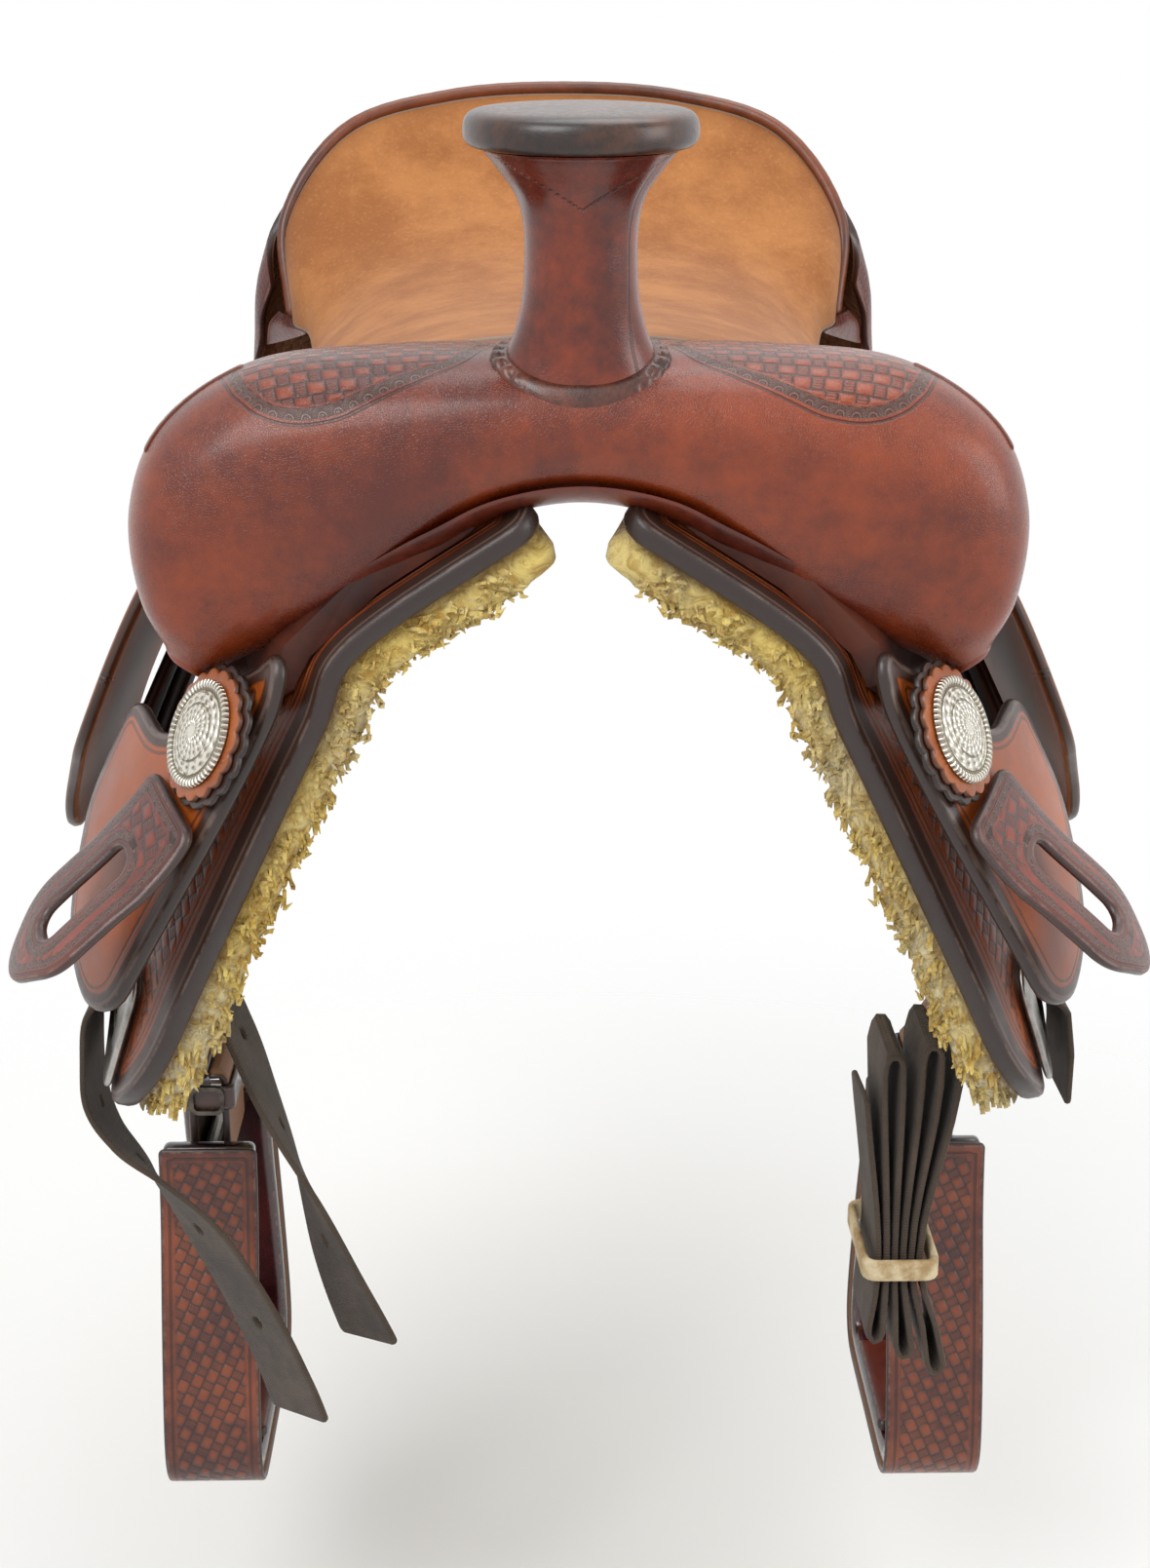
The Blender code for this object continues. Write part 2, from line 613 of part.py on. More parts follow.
def build_seat():
    suede = SUEDE_THICK
    padding_low = suede + 2.0 * DRAPE_GAP + PADDING_THICK
    net_sheet("seat_suede", SEAT_NET, round_corners(
        [(-4.0, 0.0, 0.2), (4.0, 0.0, 0.2), (4.0, 6.0, 0.1), (-4.0, 6.0, 0.1)]),
        -suede, 0.0, SUEDE, step=(0.64, 0.6))
    net_sheet("seat_padding", SEAT_NET, round_corners(
        [(-3.3, 0.15, 0.3), (3.3, 0.15, 0.3), (3.3, 5.6, 0.6), (-3.3, 5.6, 0.6)]),
        -padding_low, -suede - 2.0 * DRAPE_GAP, FOAM, step=(0.64, 0.6))
    ground_low = padding_low + DRAPE_GAP + GROUND_SEAT_THICK
    net_sheet("ground_seat", SEAT_NET, round_corners(
        [(-3.2, 0.15, 0.3), (3.2, 0.15, 0.3), (3.2, 4.1, 0.3), (-3.2, 4.1, 0.3)]),
        -ground_low, -padding_low - DRAPE_GAP, STEEL, step=(0.64, 0.6))
    net_sheet("tree_cantle", SEAT_NET, round_corners(
        [(-3.3, 4.2, 0.3), (3.3, 4.2, 0.3), (3.3, 5.7, 0.9), (-3.3, 5.7, 0.9)]),
        -padding_low - DRAPE_GAP - CANTLE_BOARD_THICK, -padding_low - DRAPE_GAP, WOOD,
        step=(0.64, 0.6))
    back = net_sheet("cantle_back", cantle_back_net(), round_corners(
        [(-3.2, 0.14, 0.1), (3.2, 0.14, 0.1), (3.5, 2.0, 0.4), (-3.5, 2.0, 0.4)]),
        0.0, CANTLE_BACK_THICK, MAHOGANY, step=(0.64, 0.5))
    path = [net_point(SEAT_NET, -4.0 + 8.0 * k / 26, 6.0) for k in range(27)]
    rings = []
    space = []
    for k, point in enumerate(path):
        ahead = path[min(k + 1, 26)] - path[max(k - 1, 0)]
        along = ahead.normalized()
        up = net_point(SEAT_NET, -4.0 + 8.0 * k / 26, 6.0, 1.0) - point
        out = net_base(SEAT_NET, -4.0 + 8.0 * k / 26, 6.0) - net_base(
            SEAT_NET, -4.0 + 8.0 * k / 26, 5.9)
        rise = (out - along * out.dot(along)).normalized()
        side = along.cross(rise)
        centre = point + rise * (BINDING_R + DRAPE_GAP) - up * 0.0005
        spokes = [rise * math.cos(a) + side * math.sin(a)
                  for a in (2.0 * math.pi * i / 8 for i in range(8))]
        rings.append([centre + spoke * BINDING_R for spoke in spokes])
        space.append([centre + spoke * (BINDING_R + 2.0 * GAP) for spoke in spokes])
    add_object("cantle_binding", loft(rings), DARK)
    cut(back, add_object("binding_space", loft(space), DARK))


# skirts, fleece, jockeys

def skirt_outline(inset=0.0):
    return round_corners([
        (FRONT_Y + inset, inset, 0.012), (REAR_Y - inset, 0.010 + inset, 0.040),
        (REAR_Y - inset, SKIRT_REAR_BOTTOM - inset, 0.075),
        (0.250, SKIRT_BOTTOM - inset, 0.200),
        (FRONT_Y + inset, SKIRT_BOTTOM - inset, SKIRT_CORNER)], steps=5)


RIG_Y = -0.178
RIG_S = 0.266
RIG_SLOT_LENGTH = 0.058
RIG_SLOT_HEIGHT = 0.026
RIG_PLATE_THICK = 0.0025
RIG_PLATE_MARGIN = 0.013


def slot_outline(grow=0.0):
    half_y = RIG_SLOT_LENGTH / 2.0 + grow
    half_s = RIG_SLOT_HEIGHT / 2.0 + grow
    corner = 0.003
    return round_corners([(RIG_Y - half_y, RIG_S - half_s, corner),
                          (RIG_Y + half_y, RIG_S - half_s, corner),
                          (RIG_Y + half_y, RIG_S + half_s, corner),
                          (RIG_Y - half_y, RIG_S + half_s, corner)], steps=3)


def jockey_low(y, s):
    t = smoothstep((s - JOCKEY_TOP_S) / (JOCKEY_BOTTOM_S - JOCKEY_TOP_S))
    return JOCKEY_TOP_H + (JOCKEY_BOTTOM_H - JOCKEY_TOP_H) * t


def front_jockey_low(y, s):
    return 0.0205 + 0.019 * smoothstep((s - 0.12) / 0.13) * smoothstep((-0.165 - y) / 0.09)


def rear_jockey_low(y, s):
    over = smoothstep((0.165 - s) / 0.045)
    return 0.0018 + (BAR_THICK + 0.0005) * over


FRONT_JOCKEY_THICK = 0.0055
ROSETTE_Y = -0.232
ROSETTE_S = 0.136
CONCHO_R = 0.0195
ROSETTE_R = 0.0242
ROSETTE_THICK = 0.0022
SCALLOPS = 18
KEEPER_THICK = 0.0045
KEEPER_TOP_S = ROSETTE_S + ROSETTE_R + 0.002
KEEPER_TIP_S = 0.250
KEEPER_HALF = 0.025


def build_side(side, word):
    flank_panel("skirt_" + word, side, skirt_outline(), -SKIRT_THICK, 0.0, TAN,
                step=(0.06, 0.036), holes=(slot_outline(),))
    flank_panel("fleece_" + word, side, skirt_outline(FLEECE_INSET),
                -SKIRT_THICK - DRAPE_GAP - FLEECE_THICK, -SKIRT_THICK - DRAPE_GAP, FLEECE,
                step=(0.06, 0.036), holes=(slot_outline(0.006),))
    margin = RIG_PLATE_MARGIN
    half_y = RIG_SLOT_LENGTH / 2.0 + margin
    half_s = RIG_SLOT_HEIGHT / 2.0 + margin
    flank_panel("rigging_plate_" + word, side, round_corners([
        (RIG_Y - half_y, RIG_S - half_s, 0.012), (RIG_Y + half_y, RIG_S - half_s, 0.012),
        (RIG_Y + half_y, RIG_S + half_s, 0.012), (RIG_Y - half_y, RIG_S + half_s, 0.012)]),
        DRAPE_GAP, DRAPE_GAP + RIG_PLATE_THICK, STEEL, step=(0.030, 0.018), holes=(slot_outline(),))
    axis_point = flank(LEATHER_Y, JOCKEY_TOP_S, JOCKEY_TOP_H + JOCKEY_THICK)
    flank_panel("seat_jockey_" + word, side, round_corners([
        (JOCKEY_FRONT_Y, JOCKEY_TOP_S, 0.004), (JOCKEY_REAR_Y, JOCKEY_TOP_S, 0.004),
        (JOCKEY_REAR_Y, JOCKEY_BOTTOM_S - 0.040, 0.045),
        (0.030, JOCKEY_BOTTOM_S, 0.060), (-0.090, JOCKEY_BOTTOM_S, 0.050),
        (JOCKEY_FRONT_Y, JOCKEY_BOTTOM_S - 0.050, 0.035)]),
        jockey_low, lambda y, s: jockey_low(y, s) + JOCKEY_THICK, TAN, step=(0.034, 0.022),
        origin=mirror_side(axis_point, side))
    flank_panel("front_jockey_" + word, side, round_corners([
        (-0.2405, 0.084, 0.016), (-0.222, 0.112, 0.02), (-0.200, 0.157, 0.02),
        (-0.163, 0.160, 0.012), (-0.165, 0.205, 0.030), (-0.200, 0.246, 0.045),
        (-0.2405, 0.250, 0.030)]),
        front_jockey_low, lambda y, s: front_jockey_low(y, s) + FRONT_JOCKEY_THICK, TAN,
        step=(0.018, 0.018))
    flank_panel("rear_jockey_" + word, side, round_corners([
        (0.166, 0.060, 0.01), (0.200, 0.030, 0.01), (0.262, -0.010, 0.01), (0.375, -0.010, 0.02),
        (0.380, 0.150, 0.060), (0.300, 0.205, 0.080), (0.166, 0.195, 0.030)]),
        rear_jockey_low, lambda y, s: rear_jockey_low(y, s) + REAR_JOCKEY_THICK, TAN,
        step=(0.040, 0.030))
    build_rosette(side, word)
    build_keeper(side, word)


def disc_frame(side):
    """Matrix of the concho's place: z out of the front jockey, y up its face."""
    h = front_jockey_low(ROSETTE_Y, ROSETTE_S) + FRONT_JOCKEY_THICK
    centre = flank(ROSETTE_Y, ROSETTE_S, h)
    normal = flank_normal(ROSETTE_Y, ROSETTE_S)
    up = -(flank(ROSETTE_Y, ROSETTE_S + 0.005, h) - centre).normalized()
    across = up.cross(normal).normalized()
    up = normal.cross(across)
    rows = Matrix((across, up, normal)).transposed().to_4x4()
    rows.translation = centre
    flip = Matrix.Scale(-1.0, 4, (1.0, 0.0, 0.0)) if side < 0 else Matrix.Identity(4)
    return flip @ rows


def scalloped_disc(radius, depth, low, high, frame, sides_each=3):
    """Disc with round scallops on its edge, between two heights."""
    bm = bmesh.new()
    count = SCALLOPS * sides_each
    rings = []
    for height in (low, high):
        ring = []
        for k in range(count):
            a = 2.0 * math.pi * k / count
            swell = abs(math.cos(SCALLOPS * a / 2.0))
            r = radius - depth * (1.0 - swell)
            ring.append(bm.verts.new((r * math.cos(a), r * math.sin(a), height)))
        rings.append(ring)
    for k in range(count):
        bm.faces.new([rings[0][k - 1], rings[0][k], rings[1][k], rings[1][k - 1]])
    bm.faces.new(list(reversed(rings[0])))
    bm.faces.new(rings[1])
    bmesh.ops.transform(bm, verts=bm.verts, matrix=frame)
    return bm


SEAT_LIFT = 0.0027


def build_rosette(side, word):
    frame = disc_frame(side)
    low = SEAT_LIFT
    add_object("rosette_under_" + word, scalloped_disc(
        ROSETTE_R + 0.0022, 0.0016, low, low + ROSETTE_THICK, frame), DARK)
    low += ROSETTE_THICK + GAP
    add_object("rosette_" + word, scalloped_disc(
        ROSETTE_R, 0.0018, low, low + ROSETTE_THICK, frame), TAN)
    low += ROSETTE_THICK + GAP
    bm = bmesh.new()
    sides = 24
    profile = [(0.0005, low), (CONCHO_R - 0.0006, low), (CONCHO_R, low + 0.0008),
               (CONCHO_R - 0.0003, low + 0.0019), (CONCHO_R - 0.0026, low + 0.0021),
               (CONCHO_R - 0.0032, low + 0.0015), (CONCHO_R * 0.50, low + 0.0032),
               (0.0005, low + 0.0039)]
    rings = [[bm.verts.new((r * math.cos(2 * math.pi * k / sides),
                            r * math.sin(2 * math.pi * k / sides), z))
              for k in range(sides)] for r, z in profile]
    for i in range(1, len(rings)):
        for k in range(sides):
            bm.faces.new([rings[i - 1][k - 1], rings[i - 1][k], rings[i][k], rings[i][k - 1]])
    bm.faces.new(list(reversed(rings[0])))
    bm.faces.new(rings[-1])
    bmesh.ops.transform(bm, verts=bm.verts, matrix=frame)
    add_object("concho_" + word, bm, SILVER)


def keeper_low(y, s):
    t = (s - KEEPER_TOP_S) / (KEEPER_TIP_S - KEEPER_TOP_S)
    return (front_jockey_low(ROSETTE_Y, KEEPER_TOP_S) + FRONT_JOCKEY_THICK + 0.0030
            + 0.030 * smoothstep(t) * 0.9 + 0.004 * t)


def keeper_axis(side):
    """Two points on the keeper's hinge line, along its top edge."""
    h = keeper_low(ROSETTE_Y, KEEPER_TOP_S)
    a = flank(ROSETTE_Y - 0.01, KEEPER_TOP_S, h)
    b = flank(ROSETTE_Y + 0.01, KEEPER_TOP_S, h)
    return mirror_side(a, side), mirror_side(b, side)


def build_keeper(side, word):
    y0 = ROSETTE_Y
    slot_s = KEEPER_TIP_S - 0.034
    slot = round_corners([(y0 - 0.007, slot_s - 0.020, 0.006), (y0 + 0.007, slot_s - 0.020, 0.006),
                          (y0 + 0.007, slot_s + 0.018, 0.006),
                          (y0 - 0.007, slot_s + 0.018, 0.006)], steps=3)
    a, b = keeper_axis(side)
    flank_panel("keeper_" + word, side, round_corners([
        (y0 - 0.019, KEEPER_TOP_S, 0.006), (y0 + 0.019, KEEPER_TOP_S, 0.006),
        (y0 + KEEPER_HALF, KEEPER_TOP_S + 0.030, 0.02),
        (y0 + KEEPER_HALF, KEEPER_TIP_S - 0.020, 0.022), (y0, KEEPER_TIP_S + 0.006, 0.020),
        (y0 - KEEPER_HALF, KEEPER_TIP_S - 0.020, 0.022),
        (y0 - KEEPER_HALF, KEEPER_TOP_S + 0.030, 0.02)]),
        keeper_low, lambda y, s: keeper_low(y, s) + KEEPER_THICK, MAHOGANY,
        step=(0.016, 0.018), holes=(slot,), origin=(a + b) / 2.0)


# hanging leathers: the fender's inner face as a section, hung below the bar

HANG_SECTION = [(0.1600, -0.034), (0.1840, -0.089), (0.1945, -0.128), (0.1985, -0.170),
                (0.1950, -0.205), (0.1840, -0.232), (0.1725, -0.252)]
HANG_TABLE = section_table(HANG_SECTION)
HANG_LENGTH = float(HANG_TABLE[1][-1])
FENDER_TOP_HALF = 0.042
FENDER_HALF = 0.082
FENDER_NECK_HALF = 0.034
LOOP_THICK = 0.0035
LOOP_WIDTH = 0.050
LOOP_X = 0.1675
LOOP_TOP_Z = -0.2575
BOLT_Z = -0.2965
BOLT_R = 0.0048
HOBBLE_Z = -0.2655
HOBBLE_HEIGHT = 0.012
HOBBLE_THICK = 0.0025
TOP_LEATHER_S = (0.104, 0.136)
TOP_LEATHER_H = 0.0210
SWING_Z = -0.020
LIFT_POINT = (0.1590, -0.0290)


def hang(y, s, h=0.0):
    point = section_point(HANG_TABLE, s)
    ahead = section_point(HANG_TABLE, s + 0.003) - section_point(HANG_TABLE, s - 0.003)
    ahead = ahead / np.linalg.norm(ahead)
    return Vector((point[0] - ahead[1] * h, y, point[1] + ahead[0] * h))


def hang_panel(name, side, outline, low, high, finish, step, origin):
    def drape(y, s):
        return mirror_side(hang(y, s, low), side), mirror_side(hang(y, s, high), side)
    return add_object(name, panel_mesh(outline, drape, step[0], step[1]), finish,
                      origin=mirror_side(origin, side))


def build_leathers(side, word):
    y0 = LEATHER_Y
    half = LEATHER_WIDTH / 2.0
    swing = mirror_side((LIFT_POINT[0], y0, SWING_Z), side)
    flank_panel("stirrup_leather_" + word, side, round_corners([
        (y0 - half, TOP_LEATHER_S[0], 0.006), (y0 + half, TOP_LEATHER_S[0], 0.006),
        (y0 + half, TOP_LEATHER_S[1], 0.0), (y0 - half, TOP_LEATHER_S[1], 0.0)]),
        TOP_LEATHER_H, TOP_LEATHER_H + LEATHER_THICK, TAN, step=(0.03, 0.010), origin=swing)
    lift = Vector((LIFT_POINT[0], y0, LIFT_POINT[1]))
    end = HANG_LENGTH
    hang_panel("fender_" + word, side, round_corners([
        (y0 - FENDER_TOP_HALF, 0.0, 0.012), (y0 + FENDER_TOP_HALF, 0.0, 0.012),
        (y0 + FENDER_HALF * 0.93, 0.060, 0.05), (y0 + FENDER_HALF, 0.120, 0.05),
        (y0 + FENDER_NECK_HALF, 0.205, 0.05), (y0 + FENDER_NECK_HALF - 0.002, end, 0.004),
        (y0 - FENDER_NECK_HALF + 0.002, end, 0.004), (y0 - FENDER_NECK_HALF, 0.205, 0.05),
        (y0 - FENDER_HALF, 0.120, 0.05), (y0 - FENDER_HALF * 0.93, 0.060, 0.05)], steps=3),
        0.0, FENDER_THICK, TAN, (0.034, 0.024), lift)
    hang_panel("leather_run_" + word, side, [
        (y0 - half, 0.002), (y0 + half, 0.002), (y0 + half, 0.190), (y0 + LOOP_WIDTH / 2, 0.215),
        (y0 + LOOP_WIDTH / 2, end - 0.002), (y0 - LOOP_WIDTH / 2, end - 0.002),
        (y0 - LOOP_WIDTH / 2, 0.215), (y0 - half, 0.190)],
        -DRAPE_GAP - LEATHER_THICK, -DRAPE_GAP, TAN, (0.034, 0.024), lift)
    build_loop(side, word)
    build_stirrup(side, word)


def extruded_y(outline, y_low, y_high):
    """Solid between two planes across y, from an (x, z) outline."""
    return loft([[Vector((x, y_low, z)) for x, z in outline],
                 [Vector((x, y_high, z)) for x, z in outline]])


def extruded_x(outline, x_low, x_high):
    """Solid between two planes across x, from a (y, z) outline."""
    return loft([[Vector((x_low, y, z)) for y, z in outline],
                 [Vector((x_high, y, z)) for y, z in outline]])


def ring_band(centre, half_a, half_b, thick, low, high, radius):
    """Upright band with rounded corners round a rectangle, between two heights."""
    def loop(grow):
        a, b, r = half_a + grow, half_b + grow, radius + grow
        return round_corners([(-a, -b, r), (a, -b, r), (a, b, r), (-a, b, r)], steps=4)
    inner = loop(0.0)
    outer = loop(thick)
    rings = [[Vector((centre[0] + p[0], centre[1] + p[1], z)) for p in ring]
             for ring, z in ((inner, low), (outer, low), (outer, high), (inner, high))]
    return loft(rings, closed_path=True)


def build_loop(side, word):
    """Leather loop round the stirrup bolt, with its hobble strap and buckle."""
    y0 = LEATHER_Y
    inner = BOLT_R + 0.0012
    outer = inner + LOOP_THICK
    steps = 14
    arc_in = [(LOOP_X + inner * math.cos(a), BOLT_Z + inner * math.sin(a))
              for a in (math.pi + math.pi * k / steps for k in range(steps + 1))]
    arc_out = [(LOOP_X + outer * math.cos(a), BOLT_Z + outer * math.sin(a))
               for a in (math.pi + math.pi * k / steps for k in range(steps + 1))]
    roof = LOOP_TOP_Z
    outline = ([(LOOP_X - outer, roof)] + arc_out + [(LOOP_X + outer, roof)]
               + [(LOOP_X + inner, roof - LOOP_THICK)] + list(reversed(arc_in))
               + [(LOOP_X - inner, roof - LOOP_THICK)])
    origin = mirror_side((LOOP_X, y0, LOOP_TOP_Z), side)
    half = LOOP_WIDTH / 2.0
    outline = [(x * side, z) for x, z in outline]
    add_object("stirrup_loop_" + word, extruded_y(outline, y0 - half, y0 + half), TAN,
               origin=origin)
    centre = (LOOP_X * side, y0)
    low = HOBBLE_Z - HOBBLE_HEIGHT / 2.0
    high = HOBBLE_Z + HOBBLE_HEIGHT / 2.0
    add_object("hobble_strap_" + word, ring_band(
        centre, outer + GAP, half + GAP, HOBBLE_THICK, low, high, 0.0004), DARK, origin=origin)
    face = y0 - half - GAP - HOBBLE_THICK - GAP
    bx = LOOP_X * side
    rings = []
    for grow, depth in ((0.0, 0.0), (0.0020, 0.0), (0.0020, 0.0022), (0.0, 0.0022)):
        a = 0.0060 + grow
        b = 0.0050 + grow
        corners = round_corners([(-a, -b, 0.002 + grow), (a, -b, 0.002 + grow),
                                 (a, b, 0.002 + grow), (-a, b, 0.002 + grow)], steps=3)
        rings.append([Vector((bx + p[0], face - depth, HOBBLE_Z + p[1])) for p in corners])
    add_object("hobble_buckle_" + word, loft(rings, closed_path=True), STEEL, origin=origin)


STIRRUP_PATH = [(0.0345, 0.0100), (0.0350, 0.0), (0.0395, -0.0260), (0.0510, -0.0650),
                (0.0600, -0.0990), (0.0650, -0.1255), (0.0640, -0.1405), (0.0560, -0.1500),
                (0.0400, -0.1525), (0.0, -0.1525)]
STIRRUP_WOOD = 0.0085
STIRRUP_LEATHER = 0.0028
STIRRUP_WIDTH = 0.042
TREAD_THICK = 0.0055


def stirrup_path(steps=22):
    half = [tuple(catmull(STIRRUP_PATH, i * (len(STIRRUP_PATH) - 1) / steps))
            for i in range(steps + 1)]
    return half + [(-y, z) for y, z in reversed(half[:-1])]


def band_outline(path, low, high):
    """Closed outline between two offsets from an open path, positive outwards."""
    def moved(distance):
        result = []
        for i, point in enumerate(path):
            a = Vector(path[max(i - 1, 0)])
            b = Vector(path[min(i + 1, len(path) - 1)])
            along = (b - a).normalized()
            result.append((point[0] - along.y * distance, point[1] + along.x * distance))
        return result
    return moved(high) + list(reversed(moved(low)))


def build_stirrup(side, word):
    y0 = LEATHER_Y
    origin = mirror_side((LOOP_X, y0, BOLT_Z), side)
    path = stirrup_path()

    def band(name, low, high, width, finish):
        outline = [(y0 + y, BOLT_Z + z) for y, z in band_outline(path, low, high)]
        x = LOOP_X * side
        return add_object(name, extruded_x(outline, x - width / 2.0, x + width / 2.0), finish,
                          origin=origin)
    inner = STIRRUP_WOOD
    frame = band("stirrup_frame_" + word, -STIRRUP_WOOD, 0.0, STIRRUP_WIDTH, BURGUNDY)
    band("stirrup_cover_" + word, GAP, GAP + STIRRUP_LEATHER, STIRRUP_WIDTH + 0.003, MAHOGANY)
    floor = BOLT_Z + STIRRUP_PATH[-1][1] + inner + GAP
    outline = round_corners([(y0 - 0.038, floor, 0.001), (y0 + 0.038, floor, 0.001),
                             (y0 + 0.036, floor + TREAD_THICK, 0.0025),
                             (y0 - 0.036, floor + TREAD_THICK, 0.0025)], steps=3)
    x = LOOP_X * side
    add_object("stirrup_tread_" + word, extruded_x(
        outline, x - STIRRUP_WIDTH / 2.0, x + STIRRUP_WIDTH / 2.0), TAN, origin=origin)
    reach = STIRRUP_PATH[1][0] - 0.0008
    bolt = bmesh.new()
    sides = 16
    rings = []
    for y, r in ((-reach, BOLT_R - 0.001), (-reach, BOLT_R), (reach, BOLT_R),
                 (reach, BOLT_R - 0.001)):
        rings.append([bolt.verts.new((x + r * math.cos(2 * math.pi * k / sides), y0 + y,
                                      BOLT_Z + r * math.sin(2 * math.pi * k / sides)))
                      for k in range(sides)])
    for i in range(1, len(rings)):
        for k in range(sides):
            bolt.faces.new([rings[i - 1][k - 1], rings[i - 1][k], rings[i][k],
                            rings[i][k - 1]])
    bolt.faces.new(rings[0])
    bolt.faces.new(list(reversed(rings[-1])))
    add_object("stirrup_bolt_" + word, bolt, STEEL, origin=origin)
    hole = bmesh.new()
    bmesh.ops.create_cone(hole, cap_ends=True, segments=16, radius1=BOLT_R + GAP,
                          radius2=BOLT_R + GAP, depth=2 * (reach + GAP))
    bmesh.ops.transform(hole, verts=hole.verts, matrix=Matrix.Translation((x, y0, BOLT_Z))
                        @ Matrix.Rotation(math.pi / 2.0, 4, "X"))
    cut(frame, add_object("bolt_hole_" + word, hole, STEEL))


# straps in the rigging slots

STRAP_WIDTH = 0.042
STRAP_THICK = 0.0024
BILLET_PATH = [(0.0840, -0.200, -0.300), (0.0960, -0.197, -0.270), (0.1080, -0.192, -0.235),
               (0.1220, -0.186, -0.202), (0.1320, -0.181, -0.176), (0.1390, -0.1785, -0.163),
               (0.1500, -0.178, -0.1565), (0.1650, -0.178, -0.1542), (0.1800, -0.178, -0.1524),
               (0.1890, -0.178, -0.1600), (0.1915, -0.178, -0.1780), (0.1915, -0.1785, -0.200),
               (0.1840, -0.181, -0.2180), (0.1680, -0.186, -0.2350), (0.1500, -0.191, -0.2560),
               (0.1330, -0.195, -0.2850), (0.1200, -0.198, -0.3150), (0.1130, -0.200, -0.335)]
BILLET_TURN = math.radians(42.0)
HOLE_R = 0.0028


def ribbon_mesh(points, across, width, thick):
    """Flat strap swept along points, each with its own direction across."""
    rings = []
    last = len(points) - 1
    for i, point in enumerate(points):
        along = (points[min(i + 1, last)] - points[max(i - 1, 0)]).normalized()
        wide = (across[i] - along * across[i].dot(along)).normalized()
        out = along.cross(wide)
        rings.append([point + wide * (width / 2.0 * a) + out * (thick / 2.0 * b)
                      for a, b in ((-1, -1), (1, -1), (1, 1), (-1, 1))])
    return loft(rings)


def rig_pivot(side):
    """Point in the middle of the rigging slot, on the skirt's middle surface."""
    return mirror_side(flank(RIG_Y, RIG_S, -SKIRT_THICK / 2.0), side)


def build_off_billet(side=-1, steps=50):
    points = [Vector(catmull(BILLET_PATH, i * (len(BILLET_PATH) - 1) / steps))
              for i in range(steps + 1)]
    across = []
    for i in range(steps + 1):
        t = abs(i / steps - 0.42)
        turn = BILLET_TURN * smoothstep((t - 0.20) / 0.22)
        across.append(Vector((math.sin(turn), math.cos(turn), 0.0)))
    bm = ribbon_mesh(points, across, STRAP_WIDTH, STRAP_THICK)
    bmesh.ops.scale(bm, verts=bm.verts, vec=(side, 1.0, 1.0))
    billet = add_object("off_billet", bm, WEBBING, origin=rig_pivot(side))
    for number, index in enumerate((4, 8, 12, 16, 33, 37, 41, 45)):
        along = (points[index + 1] - points[index - 1]).normalized()
        wide = (across[index] - along * across[index].dot(along)).normalized()
        normal = along.cross(wide)
        hole = bmesh.new()
        bmesh.ops.create_cone(hole, cap_ends=True, segments=8, radius1=HOLE_R,
                              radius2=HOLE_R, depth=STRAP_THICK * 4)
        spin = Vector((0, 0, 1)).rotation_difference(normal).to_matrix().to_4x4()
        bmesh.ops.transform(hole, verts=hole.verts,
                            matrix=Matrix.Translation(points[index]) @ spin)
        bmesh.ops.scale(hole, verts=hole.verts, vec=(side, 1.0, 1.0))
        cut(billet, add_object("billet_hole_%d" % number, hole, WEBBING))


LATIGO_LEGS = 6
LATIGO_TOP_Z = -0.178
LATIGO_TIE_Z = -0.262
LATIGO_LOW_Z = -0.305
LATIGO_START = [(0.1915, -0.178, -0.2000), (0.1915, -0.178, -0.1780), (0.1890, -0.178, -0.1600),
                (0.1800, -0.178, -0.1524), (0.1650, -0.178, -0.1542), (0.1480, -0.178, -0.1570)]


def latigo_leg_x(leg, z):
    """Place of one leg of the folded bundle at a height: wide on top, drawn in at the tie."""
    top = smoothstep((z - LATIGO_TIE_Z) / (LATIGO_TOP_Z - LATIGO_TIE_Z))
    low = smoothstep((LATIGO_TIE_Z - z) / (LATIGO_TIE_Z - LATIGO_LOW_Z))
    pitch = 0.0033 + 0.0042 * top + 0.0030 * low
    centre = 0.1260 + 0.0040 * top + 0.0030 * low
    return centre + (0.5 * (LATIGO_LEGS - 1) - leg) * pitch


def latigo_points():
    """Centre line of the near latigo: through the slot, then down and up in folds."""
    points = [Vector(p) for p in LATIGO_START]
    points.append(Vector((latigo_leg_x(0, -0.166) - 0.0002, -0.180, -0.1650)))
    rise = 9
    for leg in range(LATIGO_LEGS):
        down = leg % 2 == 0
        high = LATIGO_TOP_Z - 0.004 * (leg // 2)
        low = LATIGO_LOW_Z + 0.007 * (leg // 2)
        for k in range(rise + 1):
            t = k / rise
            z = high + (low - high) * t if down else low + (high - low) * t
            y = -0.180 - 0.016 * (high - z) / (high - low)
            points.append(Vector((latigo_leg_x(leg, z), y, z)))
        if leg < LATIGO_LEGS - 1:
            z_turn = low if down else high - 0.004
            a = latigo_leg_x(leg, z_turn)
            b = latigo_leg_x(leg + 1, z_turn)
            bulge = abs(a - b) * 0.55 * (-1 if down else 1)
            y = points[-1].y
            points.append(Vector((a * 0.80 + b * 0.20, y, points[-1].z + bulge * 0.8)))
            points.append(Vector((a * 0.50 + b * 0.50, y, points[-1].z + bulge * 0.25)))
            points.append(Vector((a * 0.20 + b * 0.80, y, points[-1].z - bulge * 0.25)))
        else:
            points.pop()
    return points


